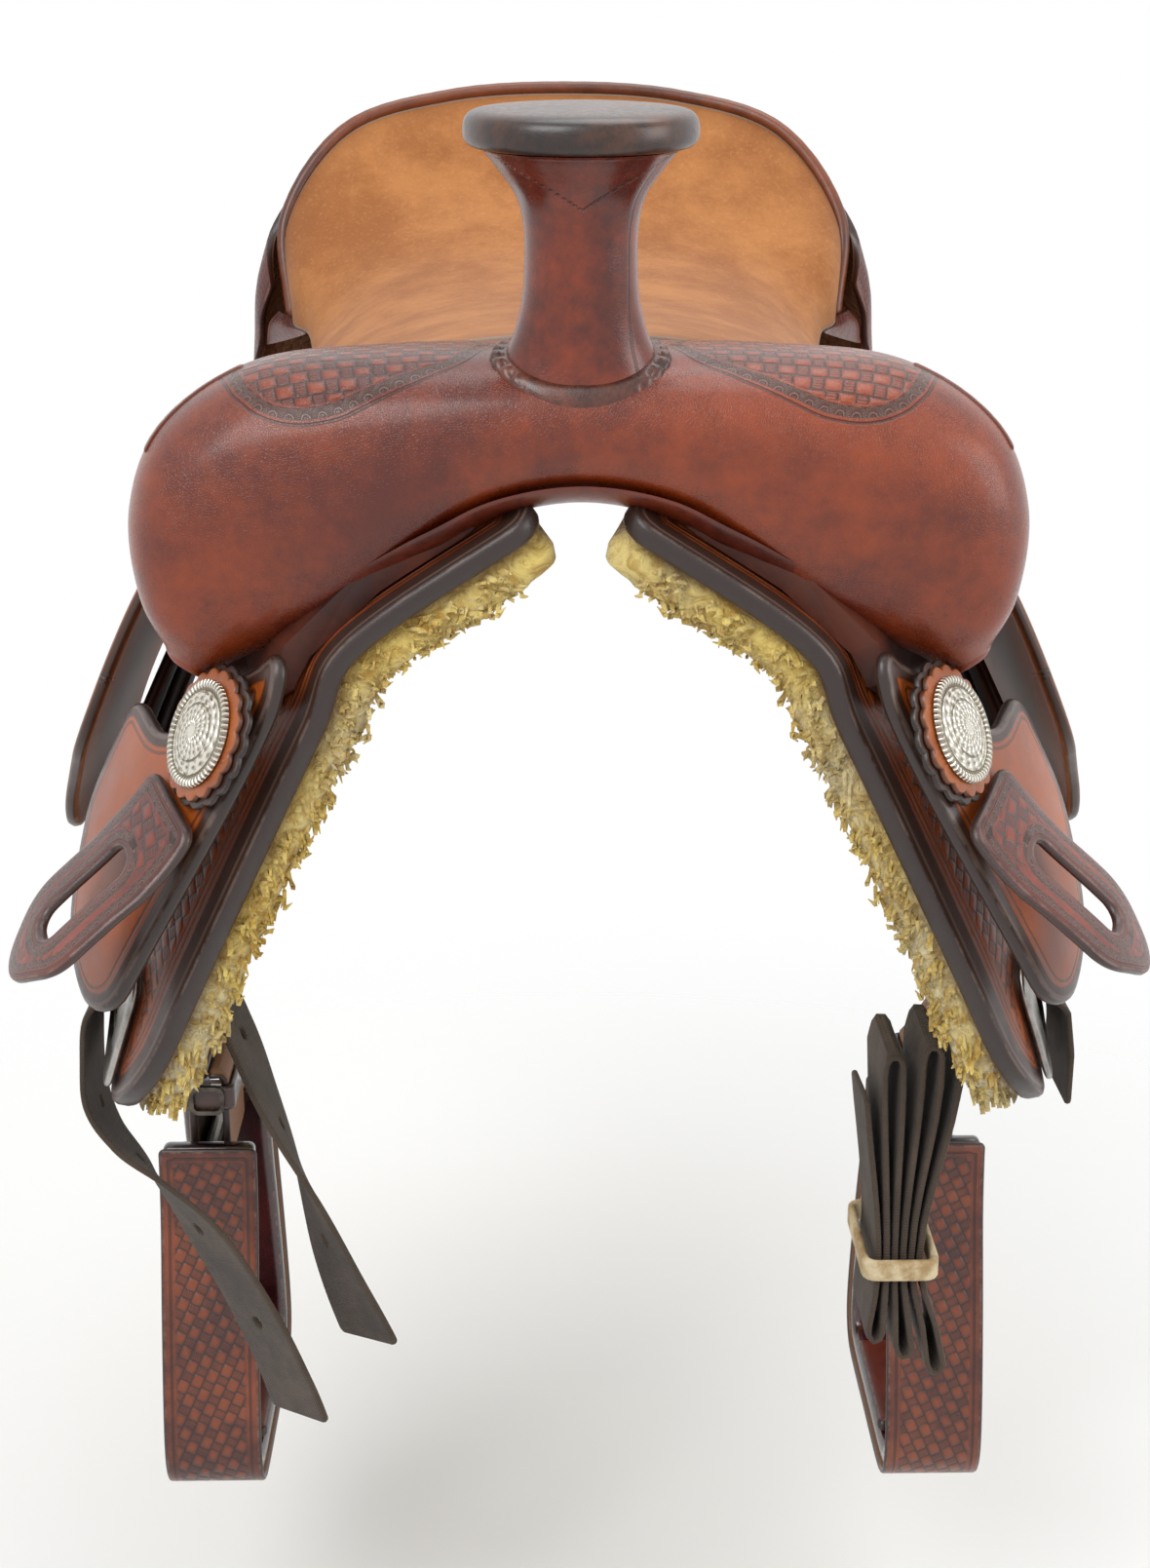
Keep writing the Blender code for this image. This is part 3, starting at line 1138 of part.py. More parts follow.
def least_gap(points, thick, apart=6):
    """Least clear distance of a strap's centre line to itself, in the plane of its folds."""
    best = 1.0
    flat = [(p.x, p.z) for p in points]
    dense = []
    for i in range(len(flat) - 1):
        for k in range(6):
            t = k / 6.0
            dense.append((i + t, flat[i][0] * (1 - t) + flat[i + 1][0] * t,
                          flat[i][1] * (1 - t) + flat[i + 1][1] * t))
    for m, (i, x, z) in enumerate(dense):
        for j, x2, z2 in dense[m + 1:]:
            if j - i > apart:
                best = min(best, math.hypot(x - x2, z - z2))
    return best - thick


def build_latigo(side=1):
    points = latigo_points()
    across = [Vector((0.0, 1.0, 0.0)) for _ in points]
    bm = ribbon_mesh(points, across, STRAP_WIDTH, STRAP_THICK)
    pivot = rig_pivot(side)
    add_object("latigo", bm, WEBBING, origin=pivot)
    print("latigo least gap to itself (mm): %.2f" % (1000 * least_gap(points, STRAP_THICK)))
    half_x = 0.5 * (LATIGO_LEGS - 1) * 0.0033 + STRAP_THICK / 2.0 + 0.0030
    centre = (0.1262, -0.1915)
    add_object("latigo_tie", ring_band(
        centre, half_x, STRAP_WIDTH / 2.0 + 0.0022, 0.0028, LATIGO_TIE_Z - 0.0045,
        LATIGO_TIE_Z + 0.0045, 0.003), THONG, origin=pivot)


def main():
    clear_scene()
    tree_space, cover_space = build_tree()
    build_welts()
    build_horn(tree_space, cover_space)
    build_seat()
    for side, word in ((1, "near"), (-1, "off")):
        build_side(side, word)
        build_leathers(side, word)
    build_off_billet()
    build_latigo()


main()
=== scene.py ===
"""Looks of a western trail saddle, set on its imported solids. Metres, +Z up.

The fork faces -Y, the near side is +X. Leather panels are flat patterns, y along the
saddle and s down its side, draped over the flank at a height h above the skirt.
Each sheet carries three things for its finish: a flat map in metres, rim (how far a
point is from the cut edge) and face (1 on the grain side, 0 on the flesh side).
"""
import math
from functools import partial

import bpy
import numpy as np
from mathutils import Matrix, Vector, geometry, noise


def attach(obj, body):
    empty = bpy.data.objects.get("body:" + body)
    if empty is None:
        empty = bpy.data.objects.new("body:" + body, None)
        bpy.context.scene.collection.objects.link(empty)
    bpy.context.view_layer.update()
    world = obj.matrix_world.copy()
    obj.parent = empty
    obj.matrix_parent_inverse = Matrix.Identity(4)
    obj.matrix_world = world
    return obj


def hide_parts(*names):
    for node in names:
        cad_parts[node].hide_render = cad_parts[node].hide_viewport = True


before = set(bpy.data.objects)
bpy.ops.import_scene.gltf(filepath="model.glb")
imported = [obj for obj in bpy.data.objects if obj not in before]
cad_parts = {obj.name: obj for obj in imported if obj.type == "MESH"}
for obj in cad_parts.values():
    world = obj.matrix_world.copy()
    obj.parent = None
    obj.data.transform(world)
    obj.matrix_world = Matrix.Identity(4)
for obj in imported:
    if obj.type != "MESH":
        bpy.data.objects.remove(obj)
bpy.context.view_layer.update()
SIDES = {1: "near", -1: "off"}

# curves and sections

def ease(t):
    t = np.clip(t, 0.0, 1.0)
    return t * t * (3.0 - 2.0 * t)


def between(p0, p1, p2, p3, f):
    """Smooth curve from p1 to p2 at a share f, carried straight on before and after them."""
    inner = 0.5 * (2.0 * p1 + (p2 - p0) * f + (2.0 * p0 - 5.0 * p1 + 4.0 * p2 - p3) * f ** 2
                   + (3.0 * p1 - p0 - 3.0 * p2 + p3) * f ** 3)
    before = p1 + (p2 - p0) * 0.5 * f
    after = p2 + (p3 - p1) * 0.5 * (f - 1.0)
    return np.where(f < 0.0, before, np.where(f > 1.0, after, inner))


def curve_at(points, t):
    """Points on a smooth curve through control points, t from 0 to their last index."""
    points = np.asarray(points, float)
    t = np.atleast_1d(np.asarray(t, float))
    last = len(points) - 1
    i = np.clip(np.floor(t).astype(int), 0, last - 1)
    f = (t - i)[:, None]
    p1 = points[i]
    p2 = points[i + 1]
    p0 = np.where((i > 0)[:, None], points[np.maximum(i - 1, 0)], 2.0 * p1 - p2)
    p3 = np.where((i + 2 <= last)[:, None], points[np.minimum(i + 2, last)], 2.0 * p2 - p1)
    return between(p0, p1, p2, p3, f)


def run_along(path):
    """Length of a path up to each of its points."""
    return np.concatenate([[0.0], np.cumsum(np.linalg.norm(np.diff(path, axis=0), axis=1))])


def section(points):
    """Points along a section's curve, with their lengths from its upper end."""
    curve = curve_at(points, np.linspace(0, len(points) - 1, 241))
    return curve, run_along(curve)


def section_at(table, s):
    """Points at lengths s down a section, straight on beyond its ends."""
    curve, length = table
    s = np.atleast_1d(np.asarray(s, float))
    point = np.stack([np.interp(s, length, curve[:, k]) for k in (0, 1)], axis=1)
    head = (curve[3] - curve[0]) / (length[3] - length[0])
    tail = (curve[-1] - curve[-4]) / (length[-1] - length[-4])
    point += np.minimum(s, 0.0)[:, None] * head
    return point + np.maximum(s - length[-1], 0.0)[:, None] * tail


FRONT_Y = -0.243
REAR_Y = 0.417
MID_START = -0.133
MID_END = 0.160
FRONT = section([(0.0152, 0.045), (0.0805, 0.000), (0.0965, -0.033), (0.1260, -0.094),
                 (0.1435, -0.130), (0.1774, -0.200)])
MIDDLE = section([(0.0300, 0.056), (0.1000, 0.014), (0.1330, -0.023), (0.1680, -0.094),
                  (0.1780, -0.130), (0.1850, -0.200)])
REAR = section([(0.0340, 0.060), (0.1080, 0.032), (0.1500, 0.000), (0.1850, -0.055),
                (0.1960, -0.090), (0.2060, -0.150)])
HANG = section([(0.1600, -0.034), (0.1840, -0.089), (0.1945, -0.128), (0.1985, -0.170),
                (0.1950, -0.205), (0.1840, -0.232), (0.1725, -0.252)])
HANG_LENGTH = float(HANG[1][-1])


def skirt_face(y, s):
    """Points on the near skirt's outer face, blended from its three sections."""
    mid = section_at(MIDDLE, s)
    t = (MID_START - y) / (MID_START - FRONT_Y)
    fore = np.where(t < 1.0, np.maximum(t, 0.0) ** 2, 2.0 * t - 1.0)[:, None]
    aft = ease((y - MID_END) / (REAR_Y - MID_END))[:, None]
    point = mid + (section_at(FRONT, s) - mid) * fore + (section_at(REAR, s) - mid) * aft
    return np.stack([point[:, 0], y, point[:, 1]], axis=1)


def flank(y, s, h):
    """World points on the near side, h out from the skirt's outer face."""
    y = np.atleast_1d(np.asarray(y, float))
    s = np.atleast_1d(np.asarray(s, float))
    d = 0.004
    along = skirt_face(y + d, s) - skirt_face(y - d, s)
    down = skirt_face(y, s + d) - skirt_face(y, s - d)
    out = -np.cross(along, down)
    out /= np.linalg.norm(out, axis=1)[:, None]
    return skirt_face(y, s) + out * np.reshape(h, (-1, 1))


def hang(y, s, h):
    """World points on the hanging leathers, h out from the fender's inner face."""
    point = section_at(HANG, s)
    ahead = section_at(HANG, s + 0.003) - section_at(HANG, s - 0.003)
    ahead /= np.linalg.norm(ahead, axis=1)[:, None]
    return np.stack([point[:, 0] - ahead[:, 1] * h, y, point[:, 1] + ahead[:, 0] * h], axis=1)


# flat patterns

def rounded(corners, steps=8):
    """Closed outline from (a, b, radius) corners, arcs in place of sharp corners."""
    outline = []
    for i, corner in enumerate(corners):
        here = Vector(corner[:2])
        before = Vector(corners[i - 1][:2])
        after = Vector(corners[(i + 1) % len(corners)][:2])
        u = (before - here).normalized()
        v = (after - here).normalized()
        if corner[2] <= 0.0:
            outline.append(tuple(here))
            continue
        half = math.acos(max(-1.0, min(1.0, u.dot(v)))) / 2.0
        reach = min(corner[2] / math.tan(half), (before - here).length * 0.49,
                    (after - here).length * 0.49)
        centre = here + (u + v).normalized() * (reach * math.tan(half) / math.sin(half))
        start = here + u * reach - centre
        end = here + v * reach - centre
        turn = math.atan2(start.x * end.y - start.y * end.x, start.dot(end))
        for k in range(steps + 1):
            a = turn * k / steps
            outline.append((centre.x + start.x * math.cos(a) - start.y * math.sin(a),
                            centre.y + start.x * math.sin(a) + start.y * math.cos(a)))
    return outline


def oblong(a0, b0, a1, b1, radius, steps=8):
    """Rounded rectangle between two opposite corners."""
    return rounded([(a0, b0, radius), (a1, b0, radius), (a1, b1, radius), (a0, b1, radius)],
                   steps)


def mirrored(half, middle=0.0):
    """Outline corners from those of one half, mirrored at a middle."""
    right = [(middle + p[0],) + p[1:] for p in half]
    left = [(middle - p[0],) + p[1:] for p in half if p[0]]
    return left[:1] + right + left[:0:-1]


def evenly(outline, pitch):
    """The same closed outline with points about a pitch apart."""
    points = np.asarray(outline, float)
    result = []
    for a, b in zip(points, np.roll(points, -1, axis=0)):
        parts = max(1, int(math.ceil(np.linalg.norm(b - a) / pitch - 1e-6)))
        result += [a + (b - a) * k / parts for k in range(parts)]
    return np.array(result)


def along_edge(points, outline):
    """Distance of each point to a closed outline, and the run along it to the near place."""
    a = np.asarray(outline, float)
    edge = np.roll(a, -1, axis=0) - a
    size = np.maximum((edge ** 2).sum(1), 1e-14)
    run = np.concatenate([[0.0], np.cumsum(np.sqrt(size))])[:-1]
    best = np.full(len(points), 1e9)
    place = np.zeros(len(points))
    for k in range(len(a)):
        t = np.clip(((points - a[k]) @ edge[k]) / size[k], 0.0, 1.0)
        d = np.linalg.norm(points - a[k] - t[:, None] * edge[k], axis=1)
        near = d < best
        best[near] = d[near]
        place[near] = run[k] + t[near] * math.sqrt(size[k])
    return best, place


def within(points, outline):
    """Which points lie inside a closed outline."""
    a = np.asarray(outline, float)
    b = np.roll(a, -1, axis=0)
    hit = np.zeros(len(points), bool)
    for p, q in zip(a, b):
        if p[1] == q[1]:
            continue
        crosses = (p[1] > points[:, 1]) != (q[1] > points[:, 1])
        x = (q[0] - p[0]) * (points[:, 1] - p[1]) / (q[1] - p[1]) + p[0]
        hit ^= crosses & (points[:, 0] < x)
    return hit


def inset(loop, distance):
    """A loop's points moved square to it, positive to the left of its run."""
    ahead = np.roll(loop, -1, axis=0) - np.roll(loop, 1, axis=0)
    ahead /= np.maximum(np.linalg.norm(ahead, axis=1), 1e-9)[:, None]
    return loop + np.stack([-ahead[:, 1], ahead[:, 0]], axis=1) * distance


def turn_sign(loop):
    """1 for a loop that runs anticlockwise, -1 for one that runs clockwise."""
    x, y = loop[:, 0], loop[:, 1]
    return 1.0 if (x * np.roll(y, -1) - y * np.roll(x, -1)).sum() > 0 else -1.0


def pattern(outline, pitch, soft, holes=()):
    """Triangles over an outline with holes, with close rows along every edge."""
    loops = [evenly(outline, pitch)] + [evenly(h, min(pitch, 0.0015)) for h in holes]
    points = []
    edges = []
    for loop in loops:
        start = len(points)
        points += list(loop)
        edges += [(start + i, start + (i + 1) % len(loop)) for i in range(len(loop))]
    fixed = len(points)
    for number, loop in enumerate(loops):
        sign = turn_sign(loop) * (1.0 if number == 0 else -1.0)
        for depth in (soft * 0.3, soft):
            points += list(inset(loop, sign * depth))
    low = loops[0].min(0)
    high = loops[0].max(0)
    grid = np.stack(np.meshgrid(
        np.arange(math.floor(low[0] / pitch), math.ceil(high[0] / pitch) + 1) * pitch,
        np.arange(math.floor(low[1] / pitch), math.ceil(high[1] / pitch) + 1) * pitch,
        indexing="ij"), axis=-1).reshape(-1, 2)
    grid = grid[within(grid, loops[0])]
    keep = along_edge(grid, loops[0])[0] > soft + pitch * 0.45
    for hole in loops[1:]:
        keep &= ~within(grid, hole) & (along_edge(grid, hole)[0] > soft + pitch * 0.3)
    points = np.array(points + list(grid[keep]))
    good = within(points, loops[0])
    for hole in loops[1:]:
        good &= ~within(points, hole)
    good[:fixed] = True
    points = points[good]
    verts, _, faces, _, _, _ = geometry.delaunay_2d_cdt(
        [Vector(p) for p in points], edges, [], 1, 1e-8)
    flat = np.array([tuple(v) for v in verts])
    tris = np.array([f for f in faces if len(f) == 3], int)
    middle = flat[tris].mean(1)
    inside = within(middle, loops[0])
    for hole in loops[1:]:
        inside &= ~within(middle, hole)
    tris = tris[inside]
    used = np.unique(tris)
    renumber = np.full(len(flat), -1)
    renumber[used] = np.arange(len(used))
    flat = flat[used]
    tris = renumber[tris]
    rim, run = along_edge(flat, loops[0])
    for hole in loops[1:]:
        rim = np.minimum(rim, along_edge(flat, hole)[0])
    return flat, tris, rim, run


PATTERNS = {}
SHARP = math.radians(50.0)


def sheet(name, outline, drape, thick, finish, pitch=0.005, holes=(), side=1, soft=None,
          shape=None, more=None):
    """Leather or cloth sheet with rounded edges. drape(a, b, h) gives points at height h."""
    soft = min(thick * 0.42, 0.0022) if soft is None else soft
    if shape not in PATTERNS or shape is None:
        flat, tris, rim, run = pattern(outline, pitch, soft, holes)
        bend = np.clip(rim / soft, 0.0, 1.0)
        drop = (1.0 - np.sqrt(1.0 - (1.0 - bend) ** 2)) * soft
        top = drape(flat[:, 0], flat[:, 1], thick - drop)
        low = drape(flat[:, 0], flat[:, 1], drop)
        if shape is not None:
            PATTERNS[shape] = (flat, tris, rim, run, top, low)
    else:
        flat, tris, rim, run, top, low = PATTERNS[shape]
    count = len(flat)
    pairs = {}
    for t in tris:
        for k in range(3):
            a, b = int(t[k - 1]), int(t[k])
            if (b, a) in pairs:
                del pairs[(b, a)]
            else:
                pairs[(a, b)] = True
    wall = [(a + count, b + count, b, a) for a, b in pairs]
    faces = [tuple(int(i) for i in t) for t in tris]
    faces += [tuple(int(i) + count for i in reversed(t)) for t in tris] + wall
    points = np.concatenate([top, low])
    points[:, 0] *= side
    if side < 0:
        faces = [tuple(reversed(f)) for f in faces]
    values = {"rim": np.concatenate([rim, rim]), "run": np.concatenate([run, run]),
              "face": np.concatenate([np.ones(count), np.zeros(count)])}
    for word, data in (more(flat, rim, run) if more else {}).items():
        values[word] = np.concatenate([data, data])
    return shaped(name, points, faces, finish, np.concatenate([flat, flat]), values)


def tube(rows, sides):
    """Faces of a tube of rings, closed at both ends."""
    faces = [(i * sides + k, i * sides + (k + 1) % sides, (i + 1) * sides + (k + 1) % sides,
              (i + 1) * sides + k) for i in range(rows - 1) for k in range(sides)]
    return faces + [tuple(range(sides))[::-1],
                    tuple((rows - 1) * sides + k for k in range(sides))]


def worked(run, rim=0.02):
    """Finish values of a piece with no cut edge in view."""
    return {"rim": np.full(len(run), rim), "run": run, "face": np.ones(len(run))}


def shaped(name, points, faces, finish, flat=None, values=None):
    """A piece from points and faces, turned outwards, with its flat map and values."""
    mesh = bpy.data.meshes.new(name)
    mesh.from_pydata([tuple(p) for p in points], [], faces)
    mesh.update()
    mesh.calc_loop_triangles()
    tris = np.empty(len(mesh.loop_triangles) * 3, int)
    mesh.loop_triangles.foreach_get("vertices", tris)
    p = np.asarray(points, float)[tris.reshape(-1, 3)]
    volume = np.einsum("ij,ij->i", p[:, 0], np.cross(p[:, 1], p[:, 2])).sum()
    if volume < 0.0:
        mesh.flip_normals()
    if flat is not None:
        layer = mesh.uv_layers.new(name="flat")
        index = np.empty(len(mesh.loops), int)
        mesh.loops.foreach_get("vertex_index", index)
        layer.data.foreach_set("uv", np.asarray(flat, np.float32)[index].ravel())
    for key, data in (values or {}).items():
        attribute = mesh.attributes.new(key, "FLOAT", "POINT")
        attribute.data.foreach_set("value", np.asarray(data, np.float32))
    mesh.materials.append(finish)
    mesh.shade_smooth()
    mesh.set_sharp_from_angle(angle=SHARP)
    obj = bpy.data.objects.new(name, mesh)
    bpy.context.collection.objects.link(obj)
    return obj


# finishes

def colour(code):
    """An sRGB hex value as linear red, green, blue and alpha."""
    parts = [int(code[i:i + 2], 16) / 255.0 for i in (1, 3, 5)]
    return tuple(c / 12.92 if c <= 0.04045 else ((c + 0.055) / 1.055) ** 2.4
                 for c in parts) + (1.0,)


def add_node(tree, kind, *values, out=0, **more):
    """One node. Values fill its inputs in order and capital words its inputs by name,
    small words are its settings. A second word in its kind is its operation or data type."""
    kind, *way = kind.split()
    node = tree.nodes.new("ShaderNode" + kind)
    if way:
        setattr(node, "data_type" if kind == "Mix" else "operation", way[0])
    for word, value in more.items():
        if word[0].islower():
            setattr(node, word, value)
    given = list(zip([s for s in node.inputs if s.enabled], values))
    given += [(node.inputs[word], value) for word, value in more.items() if word[0].isupper()]
    for socket, value in given:
        if isinstance(value, bpy.types.NodeSocket):
            tree.links.new(value, socket)
        else:
            socket.default_value = value
    return [s for s in node.outputs if s.enabled][out]


def new_finish(name, **inputs):
    """An empty finish and a call that adds a node to it. Its shader's inputs are given by
    name, with _ for a space."""
    finish = bpy.data.materials.new(name)
    finish.use_nodes = True
    tree = finish.node_tree
    for word, value in inputs.items():
        tree.nodes["Principled BSDF"].inputs[word.replace("_", " ")].default_value = value
    return finish, partial(add_node, tree)


def link(shader, word, value):
    """Link a value to an input of the shader."""
    shader.id_data.links.new(value, shader.inputs[word])


def finished(finish, put, tone, height, strength, dent, rough=None):
    """Link a finish's colour, its relief as dents of a depth in metres, and its roughness."""
    shader = finish.node_tree.nodes["Principled BSDF"]
    link(shader, "Base Color", tone)
    link(shader, "Normal", put("Bump", Strength=strength, Distance=dent, Height=height))
    if rough is not None:
        link(shader, "Roughness", rough)
    return finish


def coated(put, tone, coats):
    """A colour with coats over it. Each has its colour, its share and, for some, a factor."""
    for code, share, *factors in coats:
        for factor in factors:
            share = put("Math MULTIPLY", share, factor)
        tone = put("Mix RGBA", share, tone, colour(code))
    return tone


def on_line(put, value, place, half):
    """1 on a line where a value is at a place, 0 beyond half a width from it."""
    off = put("Math SUBTRACT", value, place)
    size = put("Math ABSOLUTE", off)
    return put("MapRange", size, half * 0.35, half, 1.0, 0.0, interpolation_type="SMOOTHSTEP")


def cushion(put, value, power):
    """A bulge over 0 to 1: 1 in the middle, 0 at both ends, flatter for a high power."""
    spread = put("Math MULTIPLY_ADD", value, 2.0, -1.0)
    size = put("Math ABSOLUTE", spread)
    high = put("Math POWER", size, power)
    return put("Math SUBTRACT", 1.0, high, use_clamp=True)


def basket_stamp(put, length, width, turn):
    """Basket-weave stamping: rows of long domes, every second row moved half a stamp,
    with a hatched crossing strand between two domes. Gives its height, 0 to 1."""
    flat = put("UVMap", uv_map="flat")
    laid = put("Mapping", flat, Rotation=(0.0, 0.0, math.radians(turn)))
    scaled = put("VectorMath MULTIPLY", laid, (1.0 / length, 1.0 / width, 0.0))
    along = put("SeparateXYZ", scaled)
    across = put("SeparateXYZ", scaled, out=1)
    row = put("Math FLOOR", across)
    moved = put("Math MULTIPLY_ADD", row, 0.5, along)
    in_length = put("Math FRACT", moved)
    in_width = put("Math FRACT", across)
    dome_place = put("Math DIVIDE", in_length, 0.62, use_clamp=True)
    dome = put("Math MULTIPLY", cushion(put, dome_place, 3.0), cushion(put, in_width, 3.0))
    cross_place = put("MapRange", in_length, 0.62, 1.0, 0.0, 1.0)
    strand = put("Math MULTIPLY", cushion(put, cross_place, 4.0), cushion(put, in_width, 6.0))
    hatch = put("Math SINE", put("Math MULTIPLY", in_width, 10.0 * math.pi))
    hatch = put("Math MULTIPLY_ADD", hatch, 0.10, 0.34)
    return put("Math MULTIPLY_ADD", hatch, strand, dome)


def shell_stamp(put, distance, run, pitch, reach):
    """A row of half-round shells along a border, each with fine rays and a round eye."""
    turns = put("Math FRACT", put("Math MULTIPLY", run, 1.0 / pitch))
    a = put("Math MULTIPLY_ADD", turns, pitch, -pitch / 2.0)
    b = put("Math SUBTRACT", distance, 0.0004)
    size = put("VectorMath LENGTH", put("CombineXYZ", a, b, 0.0))
    angle = put("Math ARCTAN2", b, a)
    rays = put("Math SINE", put("Math MULTIPLY", angle, 26.0))
    rays = put("Math MULTIPLY_ADD", rays, 0.30, 0.62)
    begin = put("MapRange", size, reach * 0.42, reach * 0.55)
    end = put("MapRange", size, reach * 0.92, reach, 1.0, 0.0)
    ring = put("Math MULTIPLY", put("Math MULTIPLY", begin, end), rays)
    lid = on_line(put, size, reach * 0.36, reach * 0.14)
    return put("Math MULTIPLY_ADD", lid, 0.8, ring)


def leather(name, deep, light, edge, gloss, stamp=None, turn=0.0, stamp_from=0.006,
            band=0.0, crease=(), stitch=0.0, shells=None, zone=None, coat=0.25,
            flesh="#8a6144", grain=0.0011, dent=0.00045, mottle=16.0):
    """Vegetable-tanned cowhide, oiled and rubbed: mottled colour, fine pores, dark
    burnished edges and a paler flesh side. Stamped, creased and stitched on demand."""
    finish, put = new_finish(name, IOR=1.48, Coat_Weight=coat, Coat_Roughness=0.22)
    place = put("TexCoord", out=3)
    rim, face, inner, run = [
        put("Attribute", attribute_name=word, out=2)
        for word in ("rim", "face", zone or "rim", (zone + "_run") if zone else "run")]
    cloud = put("TexNoise", place, Scale=mottle, Detail=5.0, Roughness=0.62, Distortion=0.4)
    speck = put("TexNoise", place, Scale=mottle * 9.0, Detail=4.0, Roughness=0.7)
    share = put("Math MULTIPLY_ADD", speck, 0.28, put("Math MULTIPLY", cloud, 0.72))
    share = put("MapRange", share, 0.36, 0.66, interpolation_type="SMOOTHSTEP")
    tone = put("Mix RGBA", share, colour(deep), colour(light))
    # pores of the grain side, drawn about 1 mm apart so that they show
    pores = put("TexVoronoi", place, feature="DISTANCE_TO_EDGE", Scale=1.0 / grain)
    pore = put("MapRange", pores, 0.0, 0.16)
    fine = put("TexNoise", place, Scale=900.0, Detail=2.0)
    height = put("Math MULTIPLY_ADD", pore, 0.055, put("Math MULTIPLY", fine, 0.06))
    rough = put("MapRange", speck, 0.3, 0.7, gloss * 0.8, gloss * 1.3)
    coats = []
    relief = []
    if stamp:
        depth = basket_stamp(put, stamp[0], stamp[1], turn)
        where = put("MapRange", inner, stamp_from, stamp_from + 0.0012)
        # the stamps' gaps take the dark edge colour; the dome tops take the paler tone, partly the
        # leather's own and partly a painted highlight
        coats += [(edge, put("MapRange", depth, 0.02, 0.50, 0.9, 0.0), where),
                  (light, put("MapRange", depth, 0.60, 1.0, 0.0, 0.55), where)]
        relief += [(put("Math SUBTRACT", depth, 0.35), where)]
    if shells:
        pitch, reach = shells
        row = put("Math MULTIPLY", put("MapRange", inner, -0.0002, 0.0002),
                  put("MapRange", inner, reach * 0.98, reach * 1.06, 1.0, 0.0))
        mark = put("Math MULTIPLY", shell_stamp(put, inner, run, pitch, reach), row)
        # the shell row takes the dark edge colour, and the raised shells a pale grey that is
        # painted highlight
        coats += [(edge, row, 0.75), ("#8d6a5e", mark, 0.50)]
        relief += [(row, -0.45), (mark, 0.7)]
    for spot in crease:
        groove = on_line(put, inner, spot, 0.0008)
        coats += [(edge, groove, 0.6)]
        relief += [(groove, -0.7)]
    if stitch:
        # thread, six stitches to the inch
        turns = put("Math FRACT", put("Math MULTIPLY", run, 1.0 / 0.0042))
        thread = put("Math MULTIPLY", on_line(put, inner, stitch, 0.0009), cushion(put, turns, 6.0))
        coats += [("#cbb08a", thread)]
        relief += [(thread, 0.6)]
    if band:
        # a dark band along the border, and inside it a thin pale grey line that is painted
        # highlight
        dark = put("MapRange", rim, band, band + 0.0010, 1.0, 0.0)
        coats += [(edge, dark, 0.93), ("#8f8078", on_line(put, rim, band * 0.42, 0.0009), 0.28)]
        relief += [(dark, 0.25)]
    # the cut edge is burnt dark, with a painted highlight in spots along its rounding
    coats += [(edge, put("MapRange", rim, 0.0004, 0.0022, 0.88, 0.0)),
              ("#a08a7c", on_line(put, rim, 0.0013, 0.0007),
               put("MapRange", speck, 0.45, 0.6, 0.0, 0.25))]
    if flesh:
        back = put("Math MULTIPLY", put("MapRange", face, 0.02, 0.35, 1.0, 0.0),
                   put("MapRange", rim, 0.0003, 0.0015))
        coats += [(flesh, back)]
        back = put("Math MULTIPLY", back, 0.9)
        rough = put("Math MAXIMUM", rough, back)
    for value, high in relief:
        height = put("Math MULTIPLY_ADD", value, high, height)
    return finished(finish, put, coated(put, tone, coats), height, 1.0, dent, rough)


def roughout():
    """Cowhide with its flesh side out: short nap, rubbed paler and darker in patches."""
    finish, put = new_finish("roughout_cowhide", Roughness=0.95, Sheen_Weight=0.08,
                             Sheen_Roughness=0.5)
    place = put("TexCoord", out=3)
    rim = put("Attribute", attribute_name="rim", out=2)
    cloud = put("TexNoise", place, Scale=17.0, Detail=8.0, Roughness=0.72)
    nap = put("TexNoise", place, Scale=520.0, Detail=3.0)
    share = put("MapRange", cloud, 0.34, 0.68, interpolation_type="SMOOTHSTEP")
    tone = put("Mix RGBA", share, colour("#93592b"), colour("#b27641"))
    tone = coated(put, tone, [
        ("#c99460", put("MapRange", nap, 0.54, 0.72, 0.0, 0.22)),
        ("#7a4820", put("MapRange", rim, 0.003, 0.018, 0.40, 0.0)),
        ("#8f8176", put("MapRange", rim, 0.0018, 0.0026, 0.85, 0.0))])
    height = put("Math ADD", nap, cloud)
    return finished(finish, put, tone, height, 0.7, 0.0004)


def wool():
    """Shearling: curly sheep's wool, yellow with age at its ends and cream where worn."""
    finish, put = new_finish("shearling_wool", Roughness=0.92, Sheen_Weight=0.3)
    place = put("TexCoord", out=3)
    worn = put("Attribute", attribute_name="worn", out=2)
    curl = put("TexNoise", place, Scale=95.0, Detail=7.0, Roughness=0.72, Distortion=2.2)
    cloud = put("TexNoise", place, Scale=24.0, Detail=3.0)
    # single fibres, drawn about 1 mm wide
    fibre = put("TexNoise", place, Scale=700.0, Detail=3.0, Distortion=1.0)
    lock = put("MapRange", curl, 0.35, 0.62, interpolation_type="SMOOTHSTEP")
    yellow = put("Mix RGBA", lock, colour("#c49a3c"), colour("#f6dc7c"))
    cream = put("Mix RGBA", lock, colour("#b3a173"), colour("#efe3bd"))
    share = put("Math MULTIPLY_ADD", cloud, 0.7, worn)
    share = put("MapRange", share, 0.45, 0.95, interpolation_type="SMOOTHSTEP")
    tone = put("Mix RGBA", share, yellow, cream)
    height = put("Math MULTIPLY_ADD", fibre, 0.25, curl)
    return finished(finish, put, tone, height, 0.9, 0.0020)


